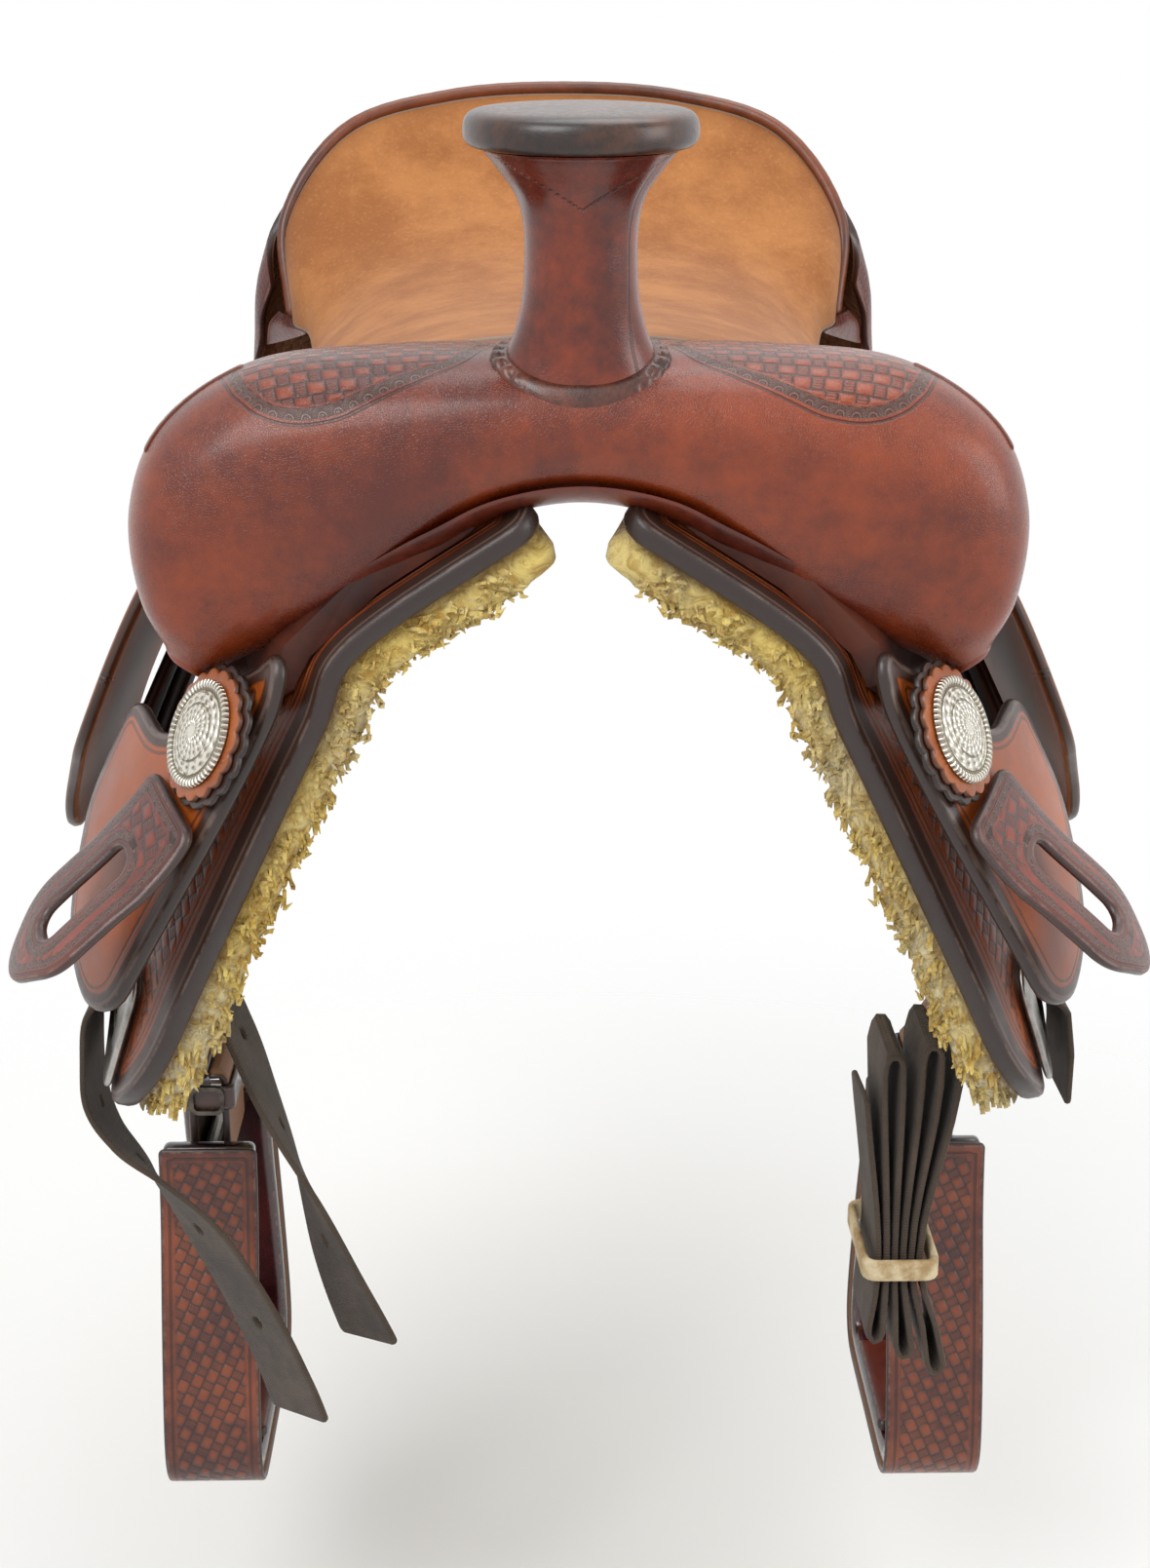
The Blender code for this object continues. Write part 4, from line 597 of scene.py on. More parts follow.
def webbing():
    """Nylon webbing: lengthwise ribs, drawn 1.5 mm apart, with a fine cross weave."""
    finish, put = new_finish("nylon_webbing", Roughness=0.8, Sheen_Weight=0.06)
    rim = put("Attribute", attribute_name="rim", out=2)
    flat = put("UVMap", uv_map="flat")
    rib, pick = [put("Math SINE", put("Math MULTIPLY", put("SeparateXYZ", flat, out=way),
                                      2.0 * math.pi / apart))
                 for way, apart in ((1, 0.0015), (0, 0.0012))]
    cloud = put("TexNoise", put("TexCoord", out=3), Scale=45.0, Detail=5.0, Roughness=0.7)
    tone = put("Mix RGBA", put("MapRange", cloud, 0.36, 0.66), colour("#33281f"),
               colour("#55463a"))
    # the grooves between the ribs are darkened: painted shade
    tone = coated(put, tone, [("#1d1612", put("MapRange", rib, -0.9, 0.1, 0.45, 0.0)),
                              ("#433629", put("MapRange", rim, 0.0010, 0.0030, 0.5, 0.0))])
    height = put("Math MULTIPLY_ADD", pick, 0.5, rib)
    return finished(finish, put, tone, height, 0.6, 0.0003)


def silver():
    """Engraved nickel silver with blackened cuts: roped edge, ring of leaves, star."""
    finish, put = new_finish("engraved_nickel_silver", Metallic=1.0)
    flat = put("UVMap", uv_map="flat")
    size = put("VectorMath LENGTH", flat)
    angle = put("Math ARCTAN2", put("SeparateXYZ", flat, out=1), put("SeparateXYZ", flat))
    lean = put("Math MULTIPLY_ADD", size, 900.0, put("Math MULTIPLY", angle, 11.0))
    counter = put("Math MULTIPLY_ADD", size, -1500.0, put("Math MULTIPLY", angle, 7.0))
    scroll = put("Math MULTIPLY", put("Math SINE", lean), put("Math SINE", counter))
    rope = put("Math SINE", put("Math MULTIPLY", angle, 56.0))
    height = put("Math MULTIPLY", rope, put("MapRange", size, 0.0158, 0.0162))
    field = put("Math MULTIPLY", put("MapRange", size, 0.0152, 0.0156, 1.0, 0.0),
                put("MapRange", size, 0.002, 0.003))
    height = put("Math MULTIPLY_ADD", scroll, field, height)
    for place, wide, high in ((0.0158, 0.0007, -1.5), (0.0105, 0.0005, -1.2)):
        height = put("Math MULTIPLY_ADD", on_line(put, size, place, wide), high, height)
    worn = put("TexNoise", put("TexCoord", out=3), Scale=260.0, Detail=4.0)
    cut = put("MapRange", put("Math MULTIPLY_ADD", worn, 0.5, height), -0.75, 0.15, 1.0, 0.0)
    tone = put("Mix RGBA", cut, colour("#e2ddd0"), colour("#8c8474"))
    return finished(finish, put, tone, height, 1.0, 0.0004,
                    put("MapRange", cut, 0.0, 1.0, 0.26, 0.6))


def plain(name, dark, pale, rough, scale, metal=0.0, dent=0.0002, stretch=(1.0, 1.0, 1.0)):
    """A simple mottled finish, for the wood, steel, foam and rawhide."""
    finish, put = new_finish(name, Metallic=metal)
    laid = put("Mapping", put("TexCoord", out=3), Scale=stretch)
    cloud = put("TexNoise", laid, Scale=scale, Detail=6.0, Roughness=0.65)
    share = put("MapRange", cloud, 0.35, 0.65, interpolation_type="SMOOTHSTEP")
    tone = put("Mix RGBA", share, colour(dark), colour(pale))
    return finished(finish, put, tone, cloud, 0.8, dent, put(
        "MapRange", cloud, 0.3, 0.7, rough * 0.8, min(rough * 1.2, 1.0)))


# length and width of one stamp of the weave
STAMP = (0.0105, 0.0056)
SMALL_STAMP = (0.0100, 0.0052)
OIL_FORK = leather("oiled_mahogany_cowhide", "#581907", "#943c12", "#1c0d0a", 0.27,
                   stamp=(0.0112, 0.0064), stamp_from=0.0046, shells=(0.0062, 0.0042),
                   crease=(-0.0018,), zone="panel", mottle=9.0, dent=0.0010, grain=0.0008)
OIL_HORN = leather("waxed_horn_neck_cowhide", "#4a1307", "#8a3310", "#180b08", 0.24, coat=0.3,
                   zone="seam", crease=(0.0,))
# darker than the fork cover: partly its own darker leather, partly painted shade under the arch
OIL_PLAIN = leather("mahogany_cowhide_and_painted_shade", "#451307", "#762b10", "#180c09", 0.34, coat=0.2,
                    mottle=20.0)
OIL_JOCKEY = leather("oiled_tan_cowhide", "#83380d", "#ad5519", "#2b1e19", 0.36, band=0.0050,
                     crease=(0.0075,), coat=0.3, mottle=10.0)
# this flesh side is paler than the others so that it reads orange-brown in the shade it lies in:
# partly painted light
OIL_SEAT_JOCKEY = leather("oiled_seat_jockey_cowhide", "#87400f", "#b4662a", "#2b1e19", 0.4,
                          stamp=STAMP, turn=35.0, stamp_from=0.0014, crease=(-0.0010, 0.0006),
                          zone="panel", mottle=10.0, flesh="#c07a3a")
OIL_SKIRT = leather("stamped_skirting_cowhide", "#7c350f", "#a65324", "#2b1f1b", 0.42,
                    stamp=STAMP, turn=30.0, stamp_from=0.0150, band=0.0085,
                    crease=(0.0108, 0.0132), mottle=10.0, dent=0.0007)
OIL_REAR = leather("stamped_rear_jockey_cowhide", "#84380f", "#b25a24", "#30231f", 0.38,
                   stamp=STAMP, turn=30.0, stamp_from=0.0150, band=0.0060,
                   crease=(0.0085, 0.0115), coat=0.3, mottle=10.0)
OIL_KEEPER = leather("stamped_keeper_cowhide", "#571c12", "#8c3a22", "#2e2623", 0.34,
                     stamp=SMALL_STAMP, turn=20.0, stamp_from=0.0032, shells=(0.0046, 0.0026),
                     crease=(-0.0010,), zone="panel", coat=0.35, dent=0.0008)
OIL_CANTLE = leather("stamped_cantle_cowhide", "#4c170e", "#7d3320", "#1c0f0c", 0.32, stamp=STAMP,
                     stamp_from=0.0040, crease=(0.0030,), coat=0.4, dent=0.0008)
OIL_BINDING = leather("rolled_cantle_binding_cowhide", "#4c220f", "#7a3d1c", "#22140e", 0.36,
                      coat=0.3, mottle=14.0)
OIL_FENDER = leather("oiled_fender_cowhide", "#431b10", "#6f331c", "#1f1410", 0.38,
                     crease=(0.0045, 0.0065), coat=0.3)
OIL_RUN = leather("stirrup_leather_cowhide", "#3c1b0d", "#5f2d16", "#1d120d", 0.4, stitch=0.0040)
OIL_STIRRUP = leather("stamped_stirrup_cowhide", "#4a1b0f", "#87401f", "#1b110f", 0.34,
                      stamp=SMALL_STAMP, turn=25.0, stamp_from=0.0060, crease=(0.0045,), coat=0.3,
                      dent=0.0007)
OIL_WELT = leather("swell_welt_cowhide", "#6d2d12", "#9c5023", "#5c260f", 0.38, stitch=0.0016,
                   coat=0.3, mottle=30.0)
DARK_EDGE = leather("dark_rolled_cowhide", "#26140f", "#45261b", "#15100d", 0.36, coat=0.4,
                    mottle=40.0)
CRIMPED = leather("crimped_collar_cowhide", "#35170f", "#6c3420", "#190f0d", 0.34, coat=0.4,
                  mottle=60.0)
HORN_LEATHER = leather("worn_horn_cap_cowhide", "#1b0f0a", "#54301c", "#15100d", 0.34, coat=0.35,
                       mottle=40.0, crease=(0.0047,))
ROSETTE_TAN = leather("tan_rosette_cowhide", "#8a3f0e", "#b46024", "#4a2a18", 0.4, coat=0.3)
ROSETTE_DARK = leather("dark_rosette_cowhide", "#281914", "#45291e", "#16100e", 0.4, coat=0.3)
BURGUNDY = leather("glossy_burgundy_lining", "#200608", "#471316", "#120606", 0.12, coat=0.9,
                   dent=0.0002, flesh=None)
TREAD = leather("oiled_tread_cowhide", "#45180f", "#6c2a18", "#1b110f", 0.4, coat=0.3)
# the bars are dark all along: leather over their fronts, and painted shade where they show in the
# gap between fork and skirt
BARS = plain("dark_bars_leather_and_painted_shade", "#33130b", "#5c2815", 0.5, 22.0, dent=0.0004)
SUEDE = roughout()
WOOL = wool()
NYLON = webbing()
SILVER = silver()
WOOD = plain("pine_tree_wood", "#8a6238", "#c29a64", 0.6, 14.0, stretch=(6.0, 1.0, 6.0))
STEEL = plain("brushed_steel", "#7d7a76", "#b5b1ab", 0.32, 60.0, metal=1.0, dent=0.0001)
BUCKLE = plain("blackened_steel_buckle", "#3a342f", "#6a615a", 0.4, 90.0, metal=1.0)
FOAM = plain("open_cell_foam", "#a89c80", "#cfc6aa", 0.9, 160.0, dent=0.0006)
THONG = plain("pale_rawhide_thong", "#a5885c", "#dccba6", 0.7, 90.0, dent=0.0005)


def place(piece, body, slot, *nodes):
    """Ride on a body and stand for CAD nodes. The finish slot is not used."""
    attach(piece, body)
    if nodes:
        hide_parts(*nodes)
    return piece


def side_sheet(side, name, node, body, slot, outline, drape, thick, finish, **rest):
    """A sheet that each side has, cut once. It rides on the root or on a body of its side,
    and stands for its side's CAD node where one is named."""
    word = "_" + SIDES[side]
    piece = sheet(name + word, outline, drape, thick, finish, side=side, shape=name, **rest)
    return place(piece, body if body == "root" else body + word, slot,
                 *([node + word] if node else []))


def dress(node, finish):
    """A CAD solid whose shape is right gets its finish."""
    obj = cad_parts[node]
    for slot in obj.material_slots:
        slot.material = finish


# fork

FORK_TOP = [(0.0, 0.0950), (0.030, 0.0955), (0.066, 0.0950), (0.113, 0.0900), (0.146, 0.0700),
            (0.1585, 0.0420), (0.1570, 0.0120), (0.1490, -0.0080)]
FORK_LOW = [(0.0, 0.0470), (0.030, 0.0410), (0.052, 0.0260), (0.078, 0.0040), (0.094, -0.0030),
            (0.106, -0.0080), (0.119, -0.0130), (0.131, -0.0195)]
FORK_DEPTH = [0.047, 0.047, 0.046, 0.045, 0.043, 0.040, 0.034, 0.022]
FORK_Y = -0.198
FORK_SQUARE = 2.7


def both_ways(points):
    """A half section's points with their mirror images before them."""
    return [(-p[0],) + tuple(p[1:]) for p in reversed(points[1:])] + [tuple(p) for p in points]


def fork_point(u, angle, out=0.0):
    """Points on the fork's skin. u from -7 to 7 across, angle round it, out from it."""
    t = np.asarray(u, float) + 7.0
    top = curve_at(both_ways(FORK_TOP), t)
    low = curve_at(both_ways(FORK_LOW), t)
    depth = curve_at([(d,) for d in FORK_DEPTH[:0:-1] + FORK_DEPTH], t)[:, 0] + out
    up = top - low
    half = np.linalg.norm(up, axis=1) / 2.0
    up /= (2.0 * half)[:, None]
    half = half + out
    power = 2.0 / FORK_SQUARE
    lift = half * np.sign(np.sin(angle)) * np.abs(np.sin(angle)) ** power
    reach = depth * np.sign(np.cos(angle)) * np.abs(np.cos(angle)) ** power
    middle = (top + low) / 2.0 + up * lift[:, None]
    return np.stack([middle[:, 0], FORK_Y - reach, middle[:, 1]], axis=1)


# the stamped panel over each swell, as lengths from the centre line and from the ridge
SWELL_PANEL = [(0.0310, 0.0, 0), (0.0400, 0.0270, 0.02), (0.0560, 0.0357, 0.02),
               (0.0726, 0.0421, 0.03), (0.0860, 0.0471, 0.03), (0.0985, 0.0477, 0.03),
               (0.1068, 0.0456, 0.03), (0.1144, 0.0397, 0.02), (0.1197, 0.0288, 0.02),
               (0.1259, 0.0, 0.0), (0.1180, -0.0300, 0.02), (0.1000, -0.0440, 0.03),
               (0.0680, -0.0400, 0.03), (0.0400, -0.0250, 0.02)]
# the skin as a grid: rings across it, each from the lower edge round over the ridge
ACROSS = 196
AROUND = 192
RING = AROUND + 1
RIDGE = AROUND // 2
END_RINGS = 6
FORK_US = np.linspace(-7.0, 7.0, ACROSS + 1)
FORK_TURNS = np.linspace(-math.pi / 2.0, 1.5 * math.pi, RING)
FORK_SKIN = np.array([fork_point(np.full(RING, u), FORK_TURNS) for u in FORK_US])
FORK_RUN = run_along(FORK_SKIN[:, RIDGE])
FORK_RUN -= FORK_RUN[ACROSS // 2]
FORK_DOWN = np.array([run_along(ring) for ring in FORK_SKIN])
FORK_DOWN = FORK_DOWN[:, RIDGE:RIDGE + 1] - FORK_DOWN


def on_fork(a, b, h):
    """Points on the fork a along its ridge and b down its front, h out from its skin."""
    u = np.interp(a, FORK_RUN, FORK_US)
    turns = np.empty(len(u))
    spot = np.clip((u + 7.0) / 14.0 * ACROSS, 0, ACROSS - 0.001)
    low = spot.astype(int)
    for k, share in enumerate(spot - low):
        down = FORK_DOWN[low[k]] * (1.0 - share) + FORK_DOWN[low[k] + 1] * share
        turns[k] = np.interp(-b[k], -down, FORK_TURNS)
    return fork_point(u, turns, h)


def fork_end(ring, inner):
    """Rings that round off an end of the fork, from its last ring and one further in."""
    middle = ring.mean(0)
    away = middle - inner.mean(0)
    away /= np.linalg.norm(away)
    turns = [k / END_RINGS * math.pi / 2.0 for k in range(1, END_RINGS + 1)]
    return [middle + (ring - middle) * (0.72 + 0.28 * math.cos(t)) + away * 0.0035 * math.sin(t)
            for t in turns]


def build_fork():
    """Cover and swell seams."""
    rings = list(FORK_SKIN)
    low = fork_end(rings[0], rings[END_RINGS])
    high = fork_end(rings[-1], rings[-1 - END_RINGS])
    verts = np.concatenate(low[::-1] + rings + high)
    more = (END_RINGS, END_RINGS)
    flat = np.stack([np.repeat(np.pad(FORK_RUN, more, "edge"), RING),
                     np.pad(FORK_DOWN, (more, (0, 0)), "edge").ravel()], axis=1)
    count = len(rings) + 2 * END_RINGS
    faces = [(i * RING + k, i * RING + k + 1, (i + 1) * RING + k + 1, (i + 1) * RING + k)
             for i in range(count - 1) for k in range(AROUND)]
    faces += [tuple(range(AROUND))[::-1], tuple((count - 1) * RING + k for k in range(AROUND))]
    outline = evenly(rounded(SWELL_PANEL), 0.003)
    mirrored = np.stack([np.abs(flat[:, 0]), flat[:, 1]], axis=1)
    distance, along = along_edge(mirrored, outline)
    panel = np.where(within(mirrored, outline), distance, -distance)
    values = worked(flat[:, 0], 0.05) | {"panel": panel, "panel_run": along}
    cover = shaped("fork_leather", verts, faces, OIL_FORK, flat, values)
    place(cover, "root", "mahogany_leather", "fork_cover")
    seam = rounded([(0.118, -0.0025, 0.0024), (0.162, 0.0150, 0.0024),
                    (0.162, 0.0200, 0.0024), (0.118, 0.0025, 0.0024)])
    for side in SIDES:
        side_sheet(side, "swell_seam", "swell_welt", "root", "dark_leather", seam,
                   lambda a, b, h: on_fork(a, b, h - 0.0012), 0.0020, OIL_WELT, pitch=0.0025)


def build_gullet():
    """The rolled edge of the cover along the lower front of the arch."""
    step = 2.0 * math.pi / 22.0
    count = 140
    rings = []
    for i in range(count + 1):
        u = -3.0 + 6.0 * i / count
        end = float(ease(4.0 * min(i, count - i) / count))
        ring = []
        for k in range(24):
            t = 2.0 * math.pi * k / 24
            a = -3.5 * step + 1.45 * step * math.cos(t)
            out = 0.0022 * end - 0.0006 + 0.0012 * (1.0 + math.sin(t)) * end
            ring.append(fork_point([u], np.array([a]), out)[0])
        rings.append(ring)
    verts = np.concatenate(rings)
    run = np.repeat(np.linspace(-0.14, 0.14, count + 1), 24)
    flat = np.stack([run, np.tile(np.linspace(0, 0.03, 24), count + 1)], axis=1)
    # in a leather darker than the cover, partly as painted shade under the arch
    roll = shaped("gullet_roll", verts, tube(count + 1, 24), OIL_PLAIN, flat, worked(run))
    place(roll, "root", "dark_leather", "gullet_lining")


# horn

HORN_BASE = Vector((0.0, -0.222, 0.0955))
HORN_TILT = math.radians(3.0)
HORN_TOP = 0.176 - 0.0955
HORN_LOW = HORN_TOP - 0.0120


# how far the horn's foot and its ring are drawn in at the front, as a share of the radius
HORN_DRAWN_IN = 0.26


def fork_fall(r, a):
    """How far the fork's skin lies below the horn's base, r out at angle a round it."""
    half = 0.024 + 0.10 * np.abs(r * np.cos(a))
    reach = np.abs(HORN_BASE.y + r * np.sin(a) - FORK_Y) / 0.047
    return half * (1.0 - (1.0 - np.minimum(reach, 0.985) ** FORK_SQUARE) ** (1.0 / FORK_SQUARE))


def turned(name, profile, finish, sides, ripple, steps=4, more=None):
    """Turned form from (radius, height) points on the horn's axis, its rings reshaped by
    ripple(radius, height, angle). more gives further values for the finish."""
    last = len(profile) - 1
    curve = curve_at(profile, np.linspace(0, last, last * steps + 1))
    angles = np.arange(sides) * 2.0 * math.pi / sides
    radius = np.maximum(curve[:, 0], 0.0002)[:, None] * np.ones(sides)
    high = curve[:, 1][:, None] * np.ones(sides)
    radius, high = ripple(radius, high, angles[None, :] * np.ones(radius.shape))
    points = np.stack([radius * np.cos(angles), radius * np.sin(angles), high], axis=-1)
    place_on = Matrix.Translation(HORN_BASE) @ Matrix.Rotation(HORN_TILT, 4, "X")
    verts = np.array([place_on @ Vector(p) for p in points.reshape(-1, 3)])
    rows = len(curve)
    run = np.tile(angles, rows) * curve[:, 0].max()
    length = run_along(curve)
    flat = np.stack([run, np.repeat(length, sides)], axis=1)
    values = worked(run)
    if more:
        values.update(more(radius.ravel(), high.ravel(), np.tile(angles, rows)))
    return shaped(name, verts, tube(rows, sides), finish, flat, values)


def build_horn():
    """Horn cap, neck and crimped ring, and the finishes of the tree."""
    cap = turned("horn_cap_leather", [
        (0.0330, HORN_LOW + 0.0010), (0.0365, HORN_LOW + 0.0002), (0.0386, HORN_LOW + 0.0022),
        (0.0390, HORN_LOW + 0.0052), (0.0383, HORN_TOP - 0.0032), (0.0360, HORN_TOP - 0.0010),
        (0.0310, HORN_TOP), (0.0200, HORN_TOP + 0.0004), (0.0006, HORN_TOP + 0.0006)],
        HORN_LEATHER, 96, lambda r, z, a: (r + 0.0002 * np.sin(a * 5.0) * (r > 0.03), z))
    place(cap, "root", "dark_leather", "horn_cap")
    neck = 0.0190
    under = HORN_LOW - 0.0003

    def settle(r, z, a):
        """The foot drawn in at the front and let down on to the fork's round top."""
        low = 1.0 - ease((z - 0.002) / 0.030)
        r = r * (1.0 - HORN_DRAWN_IN * low * np.maximum(-np.sin(a), 0.0) ** 2)
        high = np.clip((z - 0.045) / (under - 0.045), 0.0, 1.0)
        return r + 0.0003 * high * np.sin(a * 14.0), z - fork_fall(r, a) * low * 0.85

    def seams(r, z, a):
        """Distance to the V seam in front under the cap, and to the seam down one side."""
        turn = np.arctan2(np.cos(a), -np.sin(a))
        vee = z - 0.0500 - 0.0150 * np.abs(turn)
        side = np.where(vee < 0.0, r * np.abs(turn - 0.95), 0.05)
        return {"seam": np.minimum(np.abs(vee), side), "seam_run": r * turn}

    wrap = turned("horn_neck_leather", [
        (0.0258, -0.0060), (0.0256, 0.0010), (0.0225, 0.0090), (neck + 0.0008, 0.0200),
        (neck, 0.0340), (neck + 0.0006, 0.0450), (neck + 0.0034, 0.0540),
        (neck + 0.0108, under - 0.0040), (neck + 0.0130, under - 0.0012),
        (neck + 0.0128, under), (0.0150, under)], OIL_HORN, 144, settle, steps=8, more=seams)
    place(wrap, "root", "mahogany_leather", "horn_neck_wrap")

    def crimps(r, z, a):
        """Thirty crimps along the outer edge, laid down on the fork's round top."""
        r = r * (1.0 - HORN_DRAWN_IN * np.maximum(-np.sin(a), 0.0) ** 2)
        crimp = np.abs(np.cos(a * 15.0))
        outer = r > 0.0262
        return (r + 0.0006 * crimp * outer,
                z * (0.45 + 0.55 * crimp * outer + 0.55 * ~outer) - fork_fall(r, a) * 0.92)

    ring = turned("horn_base_crimped_ring", [
        (0.0248, -0.0020), (0.0300, -0.0020), (0.0302, 0.0012), (0.0292, 0.0026),
        (0.0272, 0.0030), (0.0250, 0.0024)], CRIMPED, 240, crimps)
    place(ring, "root", "dark_leather", "horn_base_ring")
    dress("horn_core", STEEL)
    dress("tree_fork", WOOD)
    dress("tree_bar_near", BARS)
    dress("tree_bar_off", BARS)
    dress("tree_cantle", WOOD)
    dress("ground_seat", STEEL)


# seat and cantle

SEAT_ROWS = [
    [(0, -0.148, 0.0930), (0.045, -0.148, 0.0900), (0.085, -0.148, 0.0780),
     (0.112, -0.148, 0.0590), (0.124, -0.148, 0.0450)],
    [(0, -0.060, 0.0890), (0.045, -0.060, 0.0860), (0.085, -0.060, 0.0750),
     (0.112, -0.060, 0.0570), (0.124, -0.060, 0.0440)],
    [(0, 0.040, 0.0860), (0.045, 0.040, 0.0840), (0.085, 0.040, 0.0740),
     (0.112, 0.040, 0.0570), (0.124, 0.040, 0.0440)],
    [(0, 0.120, 0.0920), (0.050, 0.120, 0.0900), (0.090, 0.120, 0.0800),
     (0.114, 0.120, 0.0620), (0.1245, 0.120, 0.0475)],
    [(0, 0.170, 0.1020), (0.053, 0.170, 0.1000), (0.096, 0.165, 0.0900),
     (0.122, 0.157, 0.0730), (0.129, 0.152, 0.0550)],
    [(0, 0.212, 0.1270), (0.057, 0.209, 0.1240), (0.104, 0.198, 0.1120),
     (0.135, 0.182, 0.0860), (0.138, 0.176, 0.0560)],
    [(0, 0.247, 0.1690), (0.060, 0.245, 0.1650), (0.112, 0.232, 0.1490),
     (0.143, 0.213, 0.1060), (0.141, 0.198, 0.0580)]]
# flat lengths that stand for one step of the nets, across and along
STEP_U = 0.038
STEP_V = 0.070


def cantle_rows():
    """Rows down the back of the cantle, from its rim."""
    rows = []
    for drop, flare, back in ((0.09, 0.0060, 0.0085), (0.45, 0.0120, 0.020),
                              (0.95, 0.0140, 0.034)):
        row = []
        for x, y, z in SEAT_ROWS[-1]:
            floor = 0.095 - 0.050 * float(ease((abs(x) - 0.045) / 0.105))
            out = min(abs(x) / 0.11, 1.0)
            row.append((x + flare * out * (x > 0), y + back * (1.0 - 0.85 * out ** 3),
                        z - 0.001 - (z - floor) * drop))
        rows.append(row)
    return rows


def full_net(rows):
    """A net of both sides from the rows of its near half."""
    return np.array([both_ways(row) for row in rows])


SEAT_NET = full_net(SEAT_ROWS)
CANTLE_NET = full_net(cantle_rows())


def net_base(net, u, v):
    """Points on a net at u rows across and v rows along."""
    across = np.array([curve_at(row, u + 4.0) for row in net])
    last = len(net) - 1
    i = np.clip(np.floor(v).astype(int), 0, last - 1)
    f = (v - i)[:, None]
    spot = np.arange(len(u))
    p1 = across[i, spot]
    p2 = across[i + 1, spot]
    p0 = np.where((i > 0)[:, None], across[np.maximum(i - 1, 0), spot], 2 * p1 - p2)
    p3 = np.where((i + 2 <= last)[:, None], across[np.minimum(i + 2, last), spot], 2 * p2 - p1)
    return between(p0, p1, p2, p3, f)


def on_net(net, a, b, h):
    """Points on a net at flat lengths a across and b along, h out from it."""
    u = np.asarray(a, float) / STEP_U
    v = np.asarray(b, float) / STEP_V
    du = net_base(net, u + 0.03, v) - net_base(net, u - 0.03, v)
    dv = net_base(net, u, v + 0.03) - net_base(net, u, v - 0.03)
    out = np.cross(du, dv)
    out /= np.linalg.norm(out, axis=1)[:, None]
    return net_base(net, u, v) + out * np.reshape(h, (-1, 1))


def net_outline(half):
    """Rounded outline on a net, from the corners of one half in steps of the net."""
    return rounded([(u * STEP_U, v * STEP_V, r) for u, v, r in mirrored(half)])


def sweep(name, points, radius, finish, sides, wave):
    """Round cord through points, closed at both ends. wave(run) scales its radius."""
    rings = []
    count = len(points)
    run = [0.0]
    for i in range(count):
        if i:
            run.append(run[-1] + (points[i] - points[i - 1]).length)
        along = (points[min(i + 1, count - 1)] - points[max(i - 1, 0)]).normalized()
        side = along.cross(Vector((0, 0, 1)))
        side = side.normalized() if side.length > 1e-4 else Vector((1, 0, 0))
        up = side.cross(along)
        grow = radius * wave(run[-1])
        if i in (0, count - 1):
            grow *= 0.6
        rings.append([points[i] + (side * math.cos(a) + up * math.sin(a)) * grow
                      for a in (2 * math.pi * k / sides for k in range(sides))])
    verts = np.array([tuple(p) for ring in rings for p in ring])
    long = np.repeat(run, sides)
    around = np.tile(np.arange(sides) * 2 * math.pi * radius / sides, count)
    flat = np.stack([long, around], axis=1)
    return shaped(name, verts, tube(count, sides), finish, flat, worked(long))


def build_seat():
    """Suede seat, its foam, the cantle's back, side bands and rolled binding."""
    def dish(a, b, h):
        # soft sitting dents and fine wrinkles worn into the suede
        dent = 0.0012 * np.sin(a * 31.0 + 2.0 * np.sin(b * 9.0)) * np.sin(b * 23.0 + a * 7.0)
        return on_net(SEAT_NET, a, b, h - 0.003 + np.minimum(dent, 0.0) * (h > 0.0015))
    suede = sheet("seat_roughout", net_outline([(4.0, 0.0, 0.008), (4.0, 6.0, 0.004)]),
                  dish, 0.003, SUEDE, pitch=0.0045)
    place(suede, "root", "roughout_leather", "seat_suede")

    def side_band(a, b, h):
        """From the dish's side edge out to the edge of the cantle's back."""
        t = a / 0.140
        w = (b / 0.030)[:, None]
        inner = on_net(SEAT_NET, np.full(len(a), 3.98 * STEP_U), (5.97 - 1.9 * t) * STEP_V, 0.0)
        outer = on_net(CANTLE_NET, np.full(len(a), 3.86 * STEP_U), (0.05 + 2.2 * t) * STEP_V, 0.0)
        point = inner + (outer - inner) * w
        point[:, 1] -= h + 0.003 * np.sin(np.pi * np.clip(w[:, 0], 0.0, 1.0))
        return point

    outline = rounded([(0.0, 0.0, 0.002), (0.140, 0.0, 0.004), (0.140, 0.030, 0.004),
                       (0.0, 0.030, 0.002)])
    for side in SIDES:
        side_sheet(side, "cantle_side_band", None, "root", "mahogany_leather", outline,
                   side_band, 0.0026, OIL_CANTLE, pitch=0.0035)
    pad_low = -0.003 - 0.0032 - 0.008
    pad = sheet("seat_foam_pad", net_outline([(3.3, 0.15, 0.012), (3.3, 5.6, 0.03)]),
                lambda a, b, h: on_net(SEAT_NET, a, b, pad_low + h), 0.008, FOAM, pitch=0.008,
                soft=0.0036)
    place(pad, "root", "seat_foam", "seat_padding")
    back = sheet("cantle_back_leather", net_outline([(3.6, 0.03, 0.004), (3.9, 2.6, 0.015)]),
                 partial(on_net, CANTLE_NET), 0.004, OIL_CANTLE, pitch=0.004)
    place(back, "root", "mahogany_leather", "cantle_back")
    count = 161
    across = np.linspace(-4.0, 4.0, count) * STEP_U
    rim = on_net(SEAT_NET, across, np.full(count, 6.0 * STEP_V), 0.0)
    below = on_net(SEAT_NET, across, np.full(count, 5.9 * STEP_V), 0.0)
    points = []
    for i in range(count):
        along = Vector(rim[min(i + 1, count - 1)] - rim[max(i - 1, 0)]).normalized()
        out = Vector(rim[i] - below[i])
        rise = (out - along * out.dot(along)).normalized()
        points.append(Vector(rim[i]) + rise * 0.0026)
    binding = sweep("cantle_rolled_binding", points, 0.0034, OIL_BINDING, sides=14,
                    wave=lambda s: 1.0 + 0.015 * math.sin(s * 1500.0))
    place(binding, "root", "dark_leather", "cantle_binding")


# skirts, fleece, jockeys

